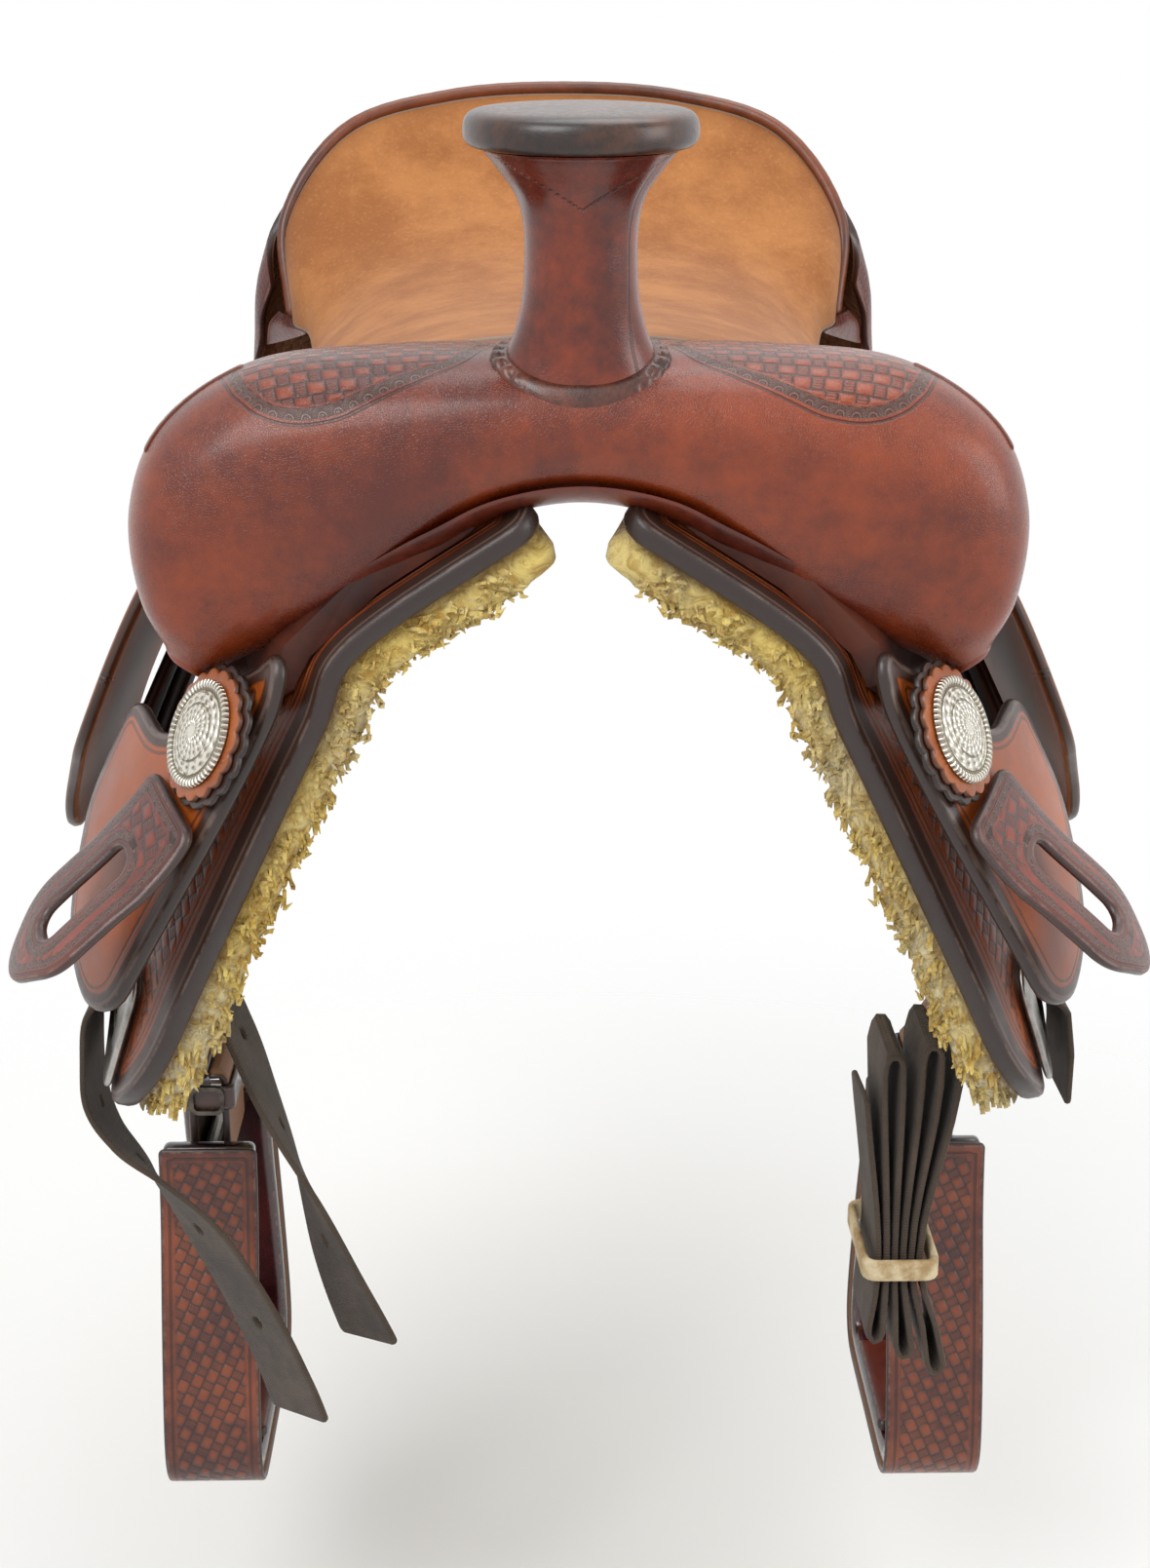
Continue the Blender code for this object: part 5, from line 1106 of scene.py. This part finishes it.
SKIRT_THICK = 0.0085
FLEECE_THICK = 0.015
FLEECE_GAP = 0.0016
JOCKEY_THICK = 0.0055
SLOT_Y = -0.178
SLOT_S = 0.266
SLOT_HALF_Y = 0.029
SLOT_HALF_S = 0.013
ROSETTE_Y = -0.226
ROSETTE_S = 0.136
KEEPER_TOP = ROSETTE_S + 0.0242 + 0.002
KEEPER_TIP = 0.240


def skirt_outline(inset_by=0.0):
    """The skirt's flat outline, drawn in by a margin."""
    return rounded([(FRONT_Y + inset_by, inset_by, 0.012),
                    (REAR_Y - inset_by, 0.010 + inset_by, 0.040),
                    (REAR_Y - inset_by, 0.250 - inset_by, 0.075),
                    (0.250, 0.303 - inset_by, 0.200),
                    (FRONT_Y + inset_by, 0.303 - inset_by, 0.055)], steps=10)


def slot_outline(grow=0.0):
    """The rigging slot, grown by a margin."""
    half_y = SLOT_HALF_Y + grow
    half_s = SLOT_HALF_S + grow
    return oblong(SLOT_Y - half_y, SLOT_S - half_s, SLOT_Y + half_y, SLOT_S + half_s,
                  0.003 + grow, 4)


def jockey_low(s):
    """Height of the seat jockey's inner face."""
    return 0.0370 - 0.0050 * ease((s - 0.086) / 0.161)


def front_jockey_low(y, s):
    """Height of the front jockey's inner face, lowest along its front edge."""
    down = ease((s - 0.12) / 0.13)
    fore = 0.010 + 0.008 * down
    aft = 0.0205 + 0.0020 * down
    return fore + (aft - fore) * np.clip((y + 0.2405) / 0.0755, 0.0, 1.0)


def rear_jockey_low(s):
    """Height of the rear jockey's inner face, raised over the bars."""
    return 0.0018 + 0.0205 * ease((0.165 - s) / 0.045)


def keeper_low(y, s):
    """Height of the keeper's inner face, standing off more towards its tip."""
    t = (s - KEEPER_TOP) / (KEEPER_TIP - KEEPER_TOP)
    top = float(front_jockey_low(np.array([ROSETTE_Y]), np.array([KEEPER_TOP]))[0])
    return top + 0.0085 + 0.022 * ease(t) + 0.008 * t + 0.25 * (ROSETTE_Y - y) * ease(t * 2.0)


def build_fleece(side):
    """Sheared wool: lumpy on the horse's side, with loose locks along the cut edges."""
    def woolly(y, s, h):
        base = -SKIRT_THICK - FLEECE_GAP - FLEECE_THICK
        lump = np.array([noise.noise((p * 55.0, q * 55.0, 3.0)) +
                         0.7 * noise.noise((p * 140.0, q * 140.0, 9.0))
                         for p, q in zip(y, s)])
        inner = np.clip(1.0 - np.asarray(h) / 0.009, 0.0, 1.0)
        return flank(y, s, base + h - 0.0022 * lump * inner)
    outline = skirt_outline(0.0015)
    body = side_sheet(side, "fleece_lining", "fleece", "root", "fleece", outline, woolly,
                      FLEECE_THICK, WOOL, pitch=0.0042, holes=(slot_outline(0.006),),
                      soft=0.0062)
    mesh = body.data
    worn = mesh.attributes.new("worn", "FLOAT", "POINT")
    points = np.empty(len(mesh.vertices) * 3)
    mesh.vertices.foreach_get("co", points)
    points = points.reshape(-1, 3)
    low = ease((-points[:, 2] - 0.02) / 0.16)
    ahead = ease((-0.222 - points[:, 1]) / 0.020)
    worn.data.foreach_set("value", (0.15 + 0.6 * (1 - ahead) * (0.4 + 0.6 * low)).astype("f"))
    rng = np.random.default_rng(5)
    loops = evenly(outline, 0.0016)
    verts = []
    faces = []
    shade = []
    middle = np.array([0.08, 0.15])
    for p in np.repeat(loops, 6, axis=0):
        if p[1] < 0.02 or p[0] > 0.40:
            continue
        depth = rng.uniform(0.0, 0.013)
        inward = middle - p
        inward /= np.linalg.norm(inward)
        start = p + inward * rng.uniform(0.000, 0.006)
        out_by = rng.uniform(0.0, 0.0016)
        end = start - inward * (0.0015 + out_by) + rng.normal(0.0, 0.0018, 2)
        h = -SKIRT_THICK - FLEECE_GAP - 0.001 - depth
        bend = rng.normal(0.0, 0.0018, 2)
        line_ys = np.array([start[0], (start[0] + end[0]) / 2 + bend[0], end[0]])
        line_ss = np.array([start[1], (start[1] + end[1]) / 2 + bend[1], end[1]])
        line_ys = np.maximum(line_ys, FRONT_Y - 0.0040)
        spine = flank(line_ys, np.minimum(line_ss, 0.306), np.array([h, h - 0.0006, h - 0.001]))
        radius = rng.uniform(0.0006, 0.0013)
        start_at = len(verts)
        for j, r in enumerate((radius, radius * 1.1, radius * 0.3)):
            for k in range(4):
                a = 2.0 * math.pi * k / 4 + j * 0.9
                verts.append((spine[j] + np.array([math.cos(a), 0.35 * math.sin(a),
                                                   math.sin(a)]) * r) * (side, 1.0, 1.0))
                shade.append(0.1 + 0.45 * (p[0] > -0.22) + rng.uniform(0.0, 0.25))
        faces += [tuple(start_at + k for k in face) for face in tube(3, 4)]
    locks = shaped("fleece_locks_" + SIDES[side], np.array(verts), faces, WOOL, None,
                   {"worn": shade})
    place(locks, "root", "fleece")


def corner_zone(flat, rim, run):
    """The stamped panel in the seat jockey's lower front corner, behind a curved line."""
    corner = rounded([(-0.200, 0.150, 0.0), (-0.118, 0.176, 0.03), (-0.085, 0.205, 0.03),
                      (-0.062, 0.300, 0.0), (-0.200, 0.300, 0.0)])
    distance, along = along_edge(flat, corner)
    zone = np.where(within(flat, corner), distance, -distance)
    return {"panel": np.where(zone > 0.0, np.minimum(zone, rim + 0.001), zone),
            "panel_run": along}


def side_panels(side):
    """Skirt, fleece, rigging plate and the three jockeys."""
    side_sheet(side, "skirt_leather", "skirt", "root", "tan_leather", skirt_outline(),
               lambda y, s, h: flank(y, s, h - SKIRT_THICK), SKIRT_THICK, OIL_SKIRT,
               pitch=0.0045, holes=(slot_outline(),))
    build_fleece(side)
    margin = 0.013
    side_sheet(side, "rigging_plate_steel", "rigging_plate", "root", "steel",
               oblong(SLOT_Y - SLOT_HALF_Y - margin, SLOT_S - SLOT_HALF_S - margin,
                      SLOT_Y + SLOT_HALF_Y + margin, SLOT_S + SLOT_HALF_S + margin, 0.012),
               lambda y, s, h: flank(y, s, 0.0016 + h), 0.0025, STEEL, pitch=0.003,
               holes=(slot_outline(),))
    side_sheet(side, "seat_jockey_leather", "seat_jockey", "jockey", "tan_leather", rounded([
        (-0.146, 0.086, 0.004), (0.140, 0.086, 0.004), (0.140, 0.207, 0.045),
        (0.030, 0.247, 0.060), (-0.090, 0.247, 0.050), (-0.146, 0.197, 0.035)]),
        lambda y, s, h: flank(y, s, jockey_low(s) + h), 0.0050, OIL_SEAT_JOCKEY, pitch=0.004,
        more=corner_zone)
    side_sheet(side, "front_jockey_leather", "front_jockey", "root", "tan_leather", rounded([
        (-0.2405, 0.084, 0.016), (-0.222, 0.112, 0.02), (-0.200, 0.157, 0.02),
        (-0.163, 0.160, 0.012), (-0.165, 0.205, 0.030), (-0.200, 0.246, 0.045),
        (-0.2405, 0.250, 0.030)]),
        lambda y, s, h: flank(y, s, front_jockey_low(y, s) + h), JOCKEY_THICK, OIL_JOCKEY,
        pitch=0.0035)
    side_sheet(side, "rear_jockey_leather", "rear_jockey", "root", "tan_leather", rounded([
        (0.166, 0.060, 0.01), (0.200, 0.030, 0.01), (0.262, -0.010, 0.01),
        (0.375, -0.010, 0.02), (0.380, 0.150, 0.060), (0.300, 0.205, 0.080),
        (0.166, 0.195, 0.030)]),
        lambda y, s, h: flank(y, s, rear_jockey_low(s) + h), 0.005, OIL_REAR, pitch=0.004)


def keeper_zone(slot):
    """Values for the stamped panel inside a keeper's edges and its slot."""
    def zone(flat, rim, run):
        outer, along = along_edge(flat, evenly(slot, 0.001))
        inner = np.minimum(rim, outer + 0.0005)
        return {"panel": inner - 0.0032, "panel_run": run}
    return zone


def build_keeper(side):
    """Slotted leather keeper that hangs under the rosette."""
    slot_s = KEEPER_TIP - 0.034
    slot = oblong(ROSETTE_Y - 0.0058, slot_s - 0.020, ROSETTE_Y + 0.0058, slot_s + 0.016, 0.005)
    outline = rounded(mirrored([
        (0.016, KEEPER_TOP, 0.006), (0.0205, KEEPER_TOP + 0.026, 0.02),
        (0.0205, KEEPER_TIP - 0.018, 0.020), (0.0, KEEPER_TIP + 0.006, 0.018)], ROSETTE_Y))
    side_sheet(side, "keeper_leather", "keeper", "keeper", "mahogany_leather", outline,
               lambda y, s, h: flank(y, s, keeper_low(y, s) + h), 0.0045, OIL_KEEPER,
               pitch=0.0022, holes=(slot,), more=keeper_zone(slot))


def disc_matrix(side):
    """The concho's place on the front jockey: z out of it, y up its face."""
    y = np.array([ROSETTE_Y])
    s = np.array([ROSETTE_S])
    h = front_jockey_low(y, s) + JOCKEY_THICK
    centre = Vector(flank(y, s, h)[0])
    normal = (Vector(flank(y, s, h + 0.01)[0]) - centre).normalized()
    up = -(Vector(flank(y, s + 0.005, h)[0]) - centre).normalized()
    across = up.cross(normal).normalized()
    up = normal.cross(across)
    rows = Matrix((across, up, normal)).transposed().to_4x4()
    rows.translation = centre
    flip = Matrix.Scale(-1.0, 4, (1.0, 0.0, 0.0)) if side < 0 else Matrix.Identity(4)
    return flip @ rows


def disc(name, side, rings, finish):
    """Round piece on the front jockey. rings gives (radius, height, scallop, rim)."""
    sides = 144
    scallops = 18
    frame_matrix = disc_matrix(side)
    verts = []
    flat = []
    rim = []
    for radius, height, scallop, edge in rings:
        for k in range(sides):
            a = 2.0 * math.pi * k / sides
            r = radius - scallop * (1.0 - abs(math.cos(scallops * a / 2.0)))
            verts.append(tuple(frame_matrix @ Vector((r * math.cos(a), r * math.sin(a), height))))
            flat.append((r * math.cos(a), r * math.sin(a)))
            rim.append(edge)
    values = worked(np.zeros(len(verts))) | {"rim": rim}
    return shaped(name, np.array(verts), tube(len(rings), sides), finish, np.array(flat), values)


def build_rosette(side):
    """Two scalloped leather rosettes under an engraved concho."""
    word = SIDES[side]
    low = 0.0027
    for name, node, slot, radii, cut, finish in (
            ("rosette_under_leather_", "rosette_under_", "dark_leather",
             (0.0240, 0.0262, 0.0264, 0.0260, 0.0248, 0.0010), 0.0016, ROSETTE_DARK),
            ("rosette_leather_", "rosette_", "tan_leather",
             (0.0222, 0.0240, 0.0242, 0.0238, 0.0226, 0.0010), 0.0018, ROSETTE_TAN)):
        rings = zip(radii, (low, low + 0.0002, low + 0.0011, low + 0.0020, low + 0.0022,
                            low + 0.0022),
                    (cut, cut, cut, cut, 0.0010, 0.0), (0.002, 0.0, 0.0, 0.0015, 0.004, 0.02))
        place(disc(name + word, side, list(rings), finish), "root", slot, node + word)
        low += 0.0025
    r = 0.0195
    rings = [(r - 0.0006, low), (r, low + 0.0008), (r - 0.0003, low + 0.0019),
             (r - 0.0014, low + 0.0023), (r - 0.0026, low + 0.0021), (r - 0.0032, low + 0.0015)]
    for k in range(1, 9):
        t = k / 8.0
        rings.append(((r - 0.0032) * (1 - t) + 0.0004,
                      low + 0.0015 + 0.0024 * math.sin(t * math.pi / 2.0)))
    piece = disc("concho_silver_" + word, side, [ring + (0.0, 0.02) for ring in rings], SILVER)
    place(piece, "root", "engraved_silver", "concho_" + word)


# hanging leathers

LEATHER_Y = -0.025
LOOP_X = 0.1675
LOOP_TOP = -0.2575
BOLT_Z = -0.2965
BOLT_R = 0.0048
HOBBLE_Z = -0.2655


def build_leathers(side):
    """Stirrup leather, fender and all that hangs from them."""
    end = HANG_LENGTH
    side_sheet(side, "stirrup_leather_top", "stirrup_leather", "leather", "tan_leather",
               rounded(mirrored([(0.032, 0.104, 0.006), (0.032, 0.136, 0.0)], LEATHER_Y)),
               lambda y, s, h: flank(y, s, 0.0210 + h), 0.007, OIL_RUN, pitch=0.004)
    side_sheet(side, "fender_leather", "fender", "fender", "tan_leather", rounded(mirrored([
        (0.042, 0.0, 0.012), (0.07626, 0.060, 0.05), (0.082, 0.120, 0.05), (0.034, 0.205, 0.05),
        (0.032, end, 0.004)], LEATHER_Y)), hang, 0.0045, OIL_FENDER, pitch=0.004)
    side_sheet(side, "stirrup_leather_run", "leather_run", "fender", "tan_leather", mirrored([
        (0.032, 0.002), (0.032, 0.190), (0.025, 0.215), (0.025, end - 0.002)], LEATHER_Y),
        lambda y, s, h: hang(y, s, h - 0.0086), 0.007, OIL_RUN, pitch=0.004)
    build_loop(side)
    build_stirrup(side)


def along_path(path):
    """Length of a path up to each of its points, and the way ahead at each."""
    length = run_along(path)
    ahead = np.gradient(path, length, axis=0)
    return length, ahead / np.linalg.norm(ahead, axis=1)[:, None]


def drawn(length, a, table):
    """What a table gives along a path, at lengths a."""
    return np.stack([np.interp(a, length, column) for column in table.T], axis=1)


def strip(name, path, wide, width, thick, finish, side, pitch=0.003, holes=()):
    """Flat strap along a path: wide gives the way across it at each point of the path."""
    path = np.asarray(path, float)
    length, ahead = along_path(path)
    wide = np.asarray(wide, float)
    wide = wide - ahead * (wide * ahead).sum(1)[:, None]
    wide /= np.linalg.norm(wide, axis=1)[:, None]
    out = np.cross(ahead, wide)

    def drape(a, b, h):
        at = partial(drawn, length, a)
        return at(path) + at(wide) * b[:, None] + at(out) * (h - thick / 2.0)[:, None]
    return sheet(name, oblong(0.0, -width / 2, length[-1], width / 2, 0.003), drape, thick,
                 finish, pitch=pitch, holes=holes, side=side)


def wrapped(name, centre, half, radius, first, size, finish, side):
    """Strap laid level round a bundle, half its sizes in x and y, joined at its first point.
    size gives the strap's width and thickness."""
    x, y = half
    ring = np.roll(evenly(oblong(-x, -y, x, y, radius, 6), 0.002), first, axis=0)
    ring = np.concatenate([ring, ring[:1]])
    path = [(centre[0] + p[0], centre[1] + p[1], centre[2]) for p in ring]
    wide = np.tile([0.0, 0.0, 1.0], (len(path), 1))
    return strip(name, path, wide, size[0], size[1], finish, side, pitch=0.002)


def build_loop(side):
    """Leather loop round the stirrup bolt, with its hobble strap and buckle."""
    word = SIDES[side]
    y0 = LEATHER_Y
    inner = BOLT_R + 0.0012
    middle = inner + 0.00175
    # 1.5 mm is left under the fender for the loop to turn in
    top = LOOP_TOP - 0.00175 + 0.0035
    path = [(LOOP_X, y0, top)]
    path += [(LOOP_X - middle + 0.001, y0, top), (LOOP_X - middle, y0, top - 0.0015)]
    path += [(LOOP_X - middle, y0, top - 0.0015 - (top - 0.0015 - BOLT_Z) * k / 10)
             for k in range(1, 11)]
    path += [(LOOP_X - middle * math.cos(a), y0, BOLT_Z - middle * math.sin(a))
             for a in (math.pi * k / 16 for k in range(1, 17))]
    path += [(LOOP_X + middle, y0, BOLT_Z + (top - 0.0015 - BOLT_Z) * k / 10)
             for k in range(1, 11)]
    path += [(LOOP_X + middle - 0.001, y0, top), (LOOP_X, y0, top)]
    wide = np.tile([0.0, 1.0, 0.0], (len(path), 1))
    loop = strip("stirrup_loop_leather_" + word, path, wide, 0.050, 0.0035, OIL_RUN, side)
    place(loop, "loop_" + word, "tan_leather", "stirrup_loop_" + word)
    half_x = inner + 0.0035 + 0.0003 + 0.00125
    half_y = 0.025 + 0.0003 + 0.00125
    hobble = wrapped("hobble_strap_leather_" + word, (LOOP_X, y0, HOBBLE_Z), (half_x, half_y),
                     0.0022, 12, (0.012, 0.0025), DARK_EDGE, side)
    place(hobble, "loop_" + word, "dark_leather", "hobble_strap_" + word)
    dress("hobble_buckle_" + word, BUCKLE)


STIRRUP_PATH = [(0.0345, 0.0100), (0.0350, 0.0), (0.0395, -0.0260), (0.0510, -0.0650),
                (0.0600, -0.0990), (0.0650, -0.1255), (0.0640, -0.1405), (0.0560, -0.1500),
                (0.0400, -0.1525), (0.0, -0.1525)]
FRAME_THICK = 0.0085


def stirrup_band(side, name, node, slot, low, high, width, finish):
    """Band round the stirrup between two offsets from its bent path, positive outwards."""
    half = curve_at(STIRRUP_PATH, np.linspace(0, 9, 70))
    path = np.concatenate([half, half[-2::-1] * (-1.0, 1.0)])
    length, ahead = along_path(path)
    out = np.stack([-ahead[:, 1], ahead[:, 0]], axis=1)
    thick = high - low

    def drape(a, b, h):
        at = partial(drawn, length, a)
        point = at(path) + at(out) * (low + h)[:, None]
        return np.stack([LOOP_X + b, LEATHER_Y + point[:, 0], BOLT_Z + point[:, 1]], axis=1)
    side_sheet(side, name, node, "stirrup", slot,
               oblong(0.0, -width / 2, length[-1], width / 2, 0.003), drape, thick, finish,
               pitch=0.003, soft=min(thick * 0.45, 0.0026))


def build_stirrup(side):
    """Lined frame, stamped cover and tread, on a steel bolt."""
    stirrup_band(side, "stirrup_lined_frame", "stirrup_frame", "burgundy_leather",
                 -FRAME_THICK, 0.0, 0.042, BURGUNDY)
    stirrup_band(side, "stirrup_cover_leather", "stirrup_cover", "mahogany_leather",
                 0.0003, 0.0031, 0.045, OIL_STIRRUP)
    floor = BOLT_Z + STIRRUP_PATH[-1][1] + FRAME_THICK + 0.0003

    def tread_top(a, b, h):
        lean = 1.0 - 0.05 * np.asarray(h) / 0.0055
        return np.stack([LOOP_X + b, LEATHER_Y + a * lean, floor + h], axis=1)
    side_sheet(side, "stirrup_tread_leather", "stirrup_tread", "stirrup", "tan_leather",
               oblong(-0.038, -0.021, 0.038, 0.021, 0.003), tread_top, 0.0055, TREAD,
               pitch=0.003, soft=0.002)
    dress("stirrup_bolt_" + SIDES[side], STEEL)


# straps in the rigging slots

STRAP_WIDE = 0.042
STRAP_THICK = 0.0024
BILLET_PATH = [(0.0840, -0.200, -0.300), (0.0960, -0.197, -0.270), (0.1080, -0.192, -0.235),
               (0.1220, -0.186, -0.202), (0.1320, -0.181, -0.176), (0.1390, -0.1785, -0.163),
               (0.1500, -0.178, -0.1565), (0.1650, -0.178, -0.1542), (0.1800, -0.178, -0.1524),
               (0.1890, -0.178, -0.1600), (0.1915, -0.178, -0.1780), (0.1915, -0.1785, -0.200),
               (0.1840, -0.181, -0.2180), (0.1680, -0.186, -0.2350), (0.1500, -0.191, -0.2560),
               (0.1330, -0.195, -0.2850), (0.1200, -0.198, -0.3150), (0.1130, -0.200, -0.335)]
LATIGO_START = [(0.1915, -0.178, -0.2000), (0.1915, -0.178, -0.1780), (0.1890, -0.178, -0.1600),
                (0.1800, -0.178, -0.1524), (0.1650, -0.178, -0.1542), (0.1480, -0.178, -0.1570)]
LATIGO_TOP = -0.178
LATIGO_TIE = -0.262
LATIGO_LOW = -0.305


def build_billet():
    """Doubled off billet with two punched tails, each twisted a little."""
    steps = 200
    path = curve_at(BILLET_PATH, np.linspace(0, 17, steps + 1))
    t = np.abs(np.arange(steps + 1) / steps - 0.42)
    turn = math.radians(42.0) * ease((t - 0.20) / 0.22)
    wide = np.stack([np.sin(turn), np.cos(turn), np.zeros(steps + 1)], axis=1)
    length = run_along(path)
    holes = []
    for index in (16, 32, 48, 64, 132, 148, 164, 180):
        holes.append([(length[index] + 0.0028 * math.cos(a), 0.0028 * math.sin(a))
                      for a in (2 * math.pi * k / 20 for k in range(20))])
    strap = strip("off_billet_strap", path, wide, STRAP_WIDE, STRAP_THICK, NYLON, -1,
                  holes=holes)
    place(strap, "off_billet", "nylon_webbing", "off_billet")


def latigo_x(leg, z):
    """How far out a leg of the folded latigo hangs at a height."""
    top = float(ease((z - LATIGO_TIE) / (LATIGO_TOP - LATIGO_TIE)))
    low = float(ease((LATIGO_TIE - z) / (LATIGO_TIE - LATIGO_LOW)))
    return 0.1260 + 0.0040 * top + 0.0030 * low + (2.5 - leg) * (
        0.0033 + 0.0042 * top + 0.0030 * low)


def latigo_path():
    """Centre line of the near latigo: through the slot, then down and up in folds."""
    points = list(LATIGO_START)
    points.append((latigo_x(0, -0.166) - 0.0002, -0.180, -0.1650))
    for leg in range(6):
        down = leg % 2 == 0
        high = LATIGO_TOP - 0.004 * (leg // 2)
        low = LATIGO_LOW + 0.007 * (leg // 2)
        for k in range(10):
            t = k / 9
            z = high + (low - high) * t if down else low + (high - low) * t
            points.append((latigo_x(leg, z), -0.180 - 0.016 * (high - z) / (high - low), z))
        if leg < 5:
            turn_z = low if down else high - 0.004
            a = latigo_x(leg, turn_z)
            b = latigo_x(leg + 1, turn_z)
            bulge = abs(a - b) * 0.55 * (-1 if down else 1)
            y = points[-1][1]
            points.append((a * 0.80 + b * 0.20, y, points[-1][2] + bulge * 0.8))
            points.append((a * 0.50 + b * 0.50, y, points[-1][2] + bulge * 0.25))
            points.append((a * 0.20 + b * 0.80, y, points[-1][2] - bulge * 0.25))
        else:
            points.pop()
    return points


def build_latigo():
    """Folded latigo and the rawhide tie round it."""
    points = latigo_path()
    path = np.asarray(points, float)
    wide = np.tile([0.0, 1.0, 0.0], (len(path), 1))
    strap = strip("near_latigo_strap", path, wide, STRAP_WIDE, STRAP_THICK, NYLON, 1)
    place(strap, "latigo", "nylon_webbing", "latigo")
    half_x = 2.5 * 0.0033 + 0.0012 + 0.0030 + 0.0014
    half_y = 0.021 + 0.0022 + 0.0014
    tie = wrapped("latigo_rawhide_tie", (0.1262, -0.1915, LATIGO_TIE), (half_x, half_y), 0.0044,
                  10, (0.009, 0.0028), THONG, 1)
    place(tie, "latigo", "pale_thong", "latigo_tie")


build_fork()
build_gullet()
build_horn()
build_seat()
for side in SIDES:
    side_panels(side)
    build_rosette(side)
    build_keeper(side)
    build_leathers(side)
build_billet()
build_latigo()

# camera, floor and light


def build_stage():
    """Camera at the photo's place, pale floor and soft studio light."""
    camera_data = bpy.data.cameras.new("photo_camera")
    camera_data.lens = 52.36
    camera_data.sensor_width = 36.0
    camera_data.sensor_fit = "AUTO"
    camera = bpy.data.objects.new("photo_camera", camera_data)
    camera.location = (-0.016, -1.003, 0.20)
    camera.rotation_euler = (math.radians(90.0 - 18.3), 0.0, -math.radians(1.03))
    bpy.context.collection.objects.link(camera)
    bpy.context.scene.camera = camera
    finish, put = new_finish("painted_floor", Base_Color=colour("#f7f7f6"), Roughness=0.9)
    # the floor fades out into the white round it, away from the saddle's shadow
    away = put("VectorMath LENGTH", put("TexCoord", out=3))
    link(finish.node_tree.nodes["Principled BSDF"], "Alpha", put(
        "MapRange", away, 0.40, 1.05, 1.0, 0.0, interpolation_type="SMOOTHSTEP"))
    mesh = bpy.data.meshes.new("floor")
    half = 1.1
    mesh.from_pydata([(-half, half, 0.0), (half, half, 0.0), (half, -half, 0.0),
                      (-half, -half, 0.0)], [], [(3, 2, 1, 0)])
    mesh.materials.append(finish)
    floor = bpy.data.objects.new("floor", mesh)
    floor.location = (0.0, 0.0, -0.60)
    bpy.context.collection.objects.link(floor)
    world = bpy.data.worlds.new("studio")
    world.use_nodes = True
    bpy.context.scene.world = world
    put = partial(add_node, world.node_tree)
    # white where the camera, a reflection or a clear surface sees it, softer as a lamp
    seen = put("Math MAXIMUM", put("LightPath"), put("LightPath", out=3))
    seen = put("Math MAXIMUM", seen, put("LightPath", out=6))
    back = world.node_tree.nodes["Background"]
    back.inputs["Color"].default_value = colour("#ffffff")
    link(back, "Strength", put("MapRange", seen, 0.0, 1.0, 0.62, 1.0))
    for name, size, power, spot, aim in (
            ("key_softbox", 1.2, 26.0, (-0.9, -1.5, 1.5), (0, 0, 0)),
            ("top_softbox", 1.6, 20.0, (0.3, 0.4, 2.0), (0, 0, 0)),
            ("side_softbox", 1.0, 10.0, (1.7, -0.7, 0.6), (0, 0, 0))):
        lamp_data = bpy.data.lights.new(name, "AREA")
        lamp_data.size = size
        lamp_data.energy = power
        lamp = bpy.data.objects.new(name, lamp_data)
        lamp.location = spot
        away = Vector(spot) - Vector(aim)
        lamp.rotation_euler = away.to_track_quat("Z", "Y").to_euler()
        bpy.context.collection.objects.link(lamp)


build_stage()
bpy.context.scene.view_settings.view_transform = "Standard"
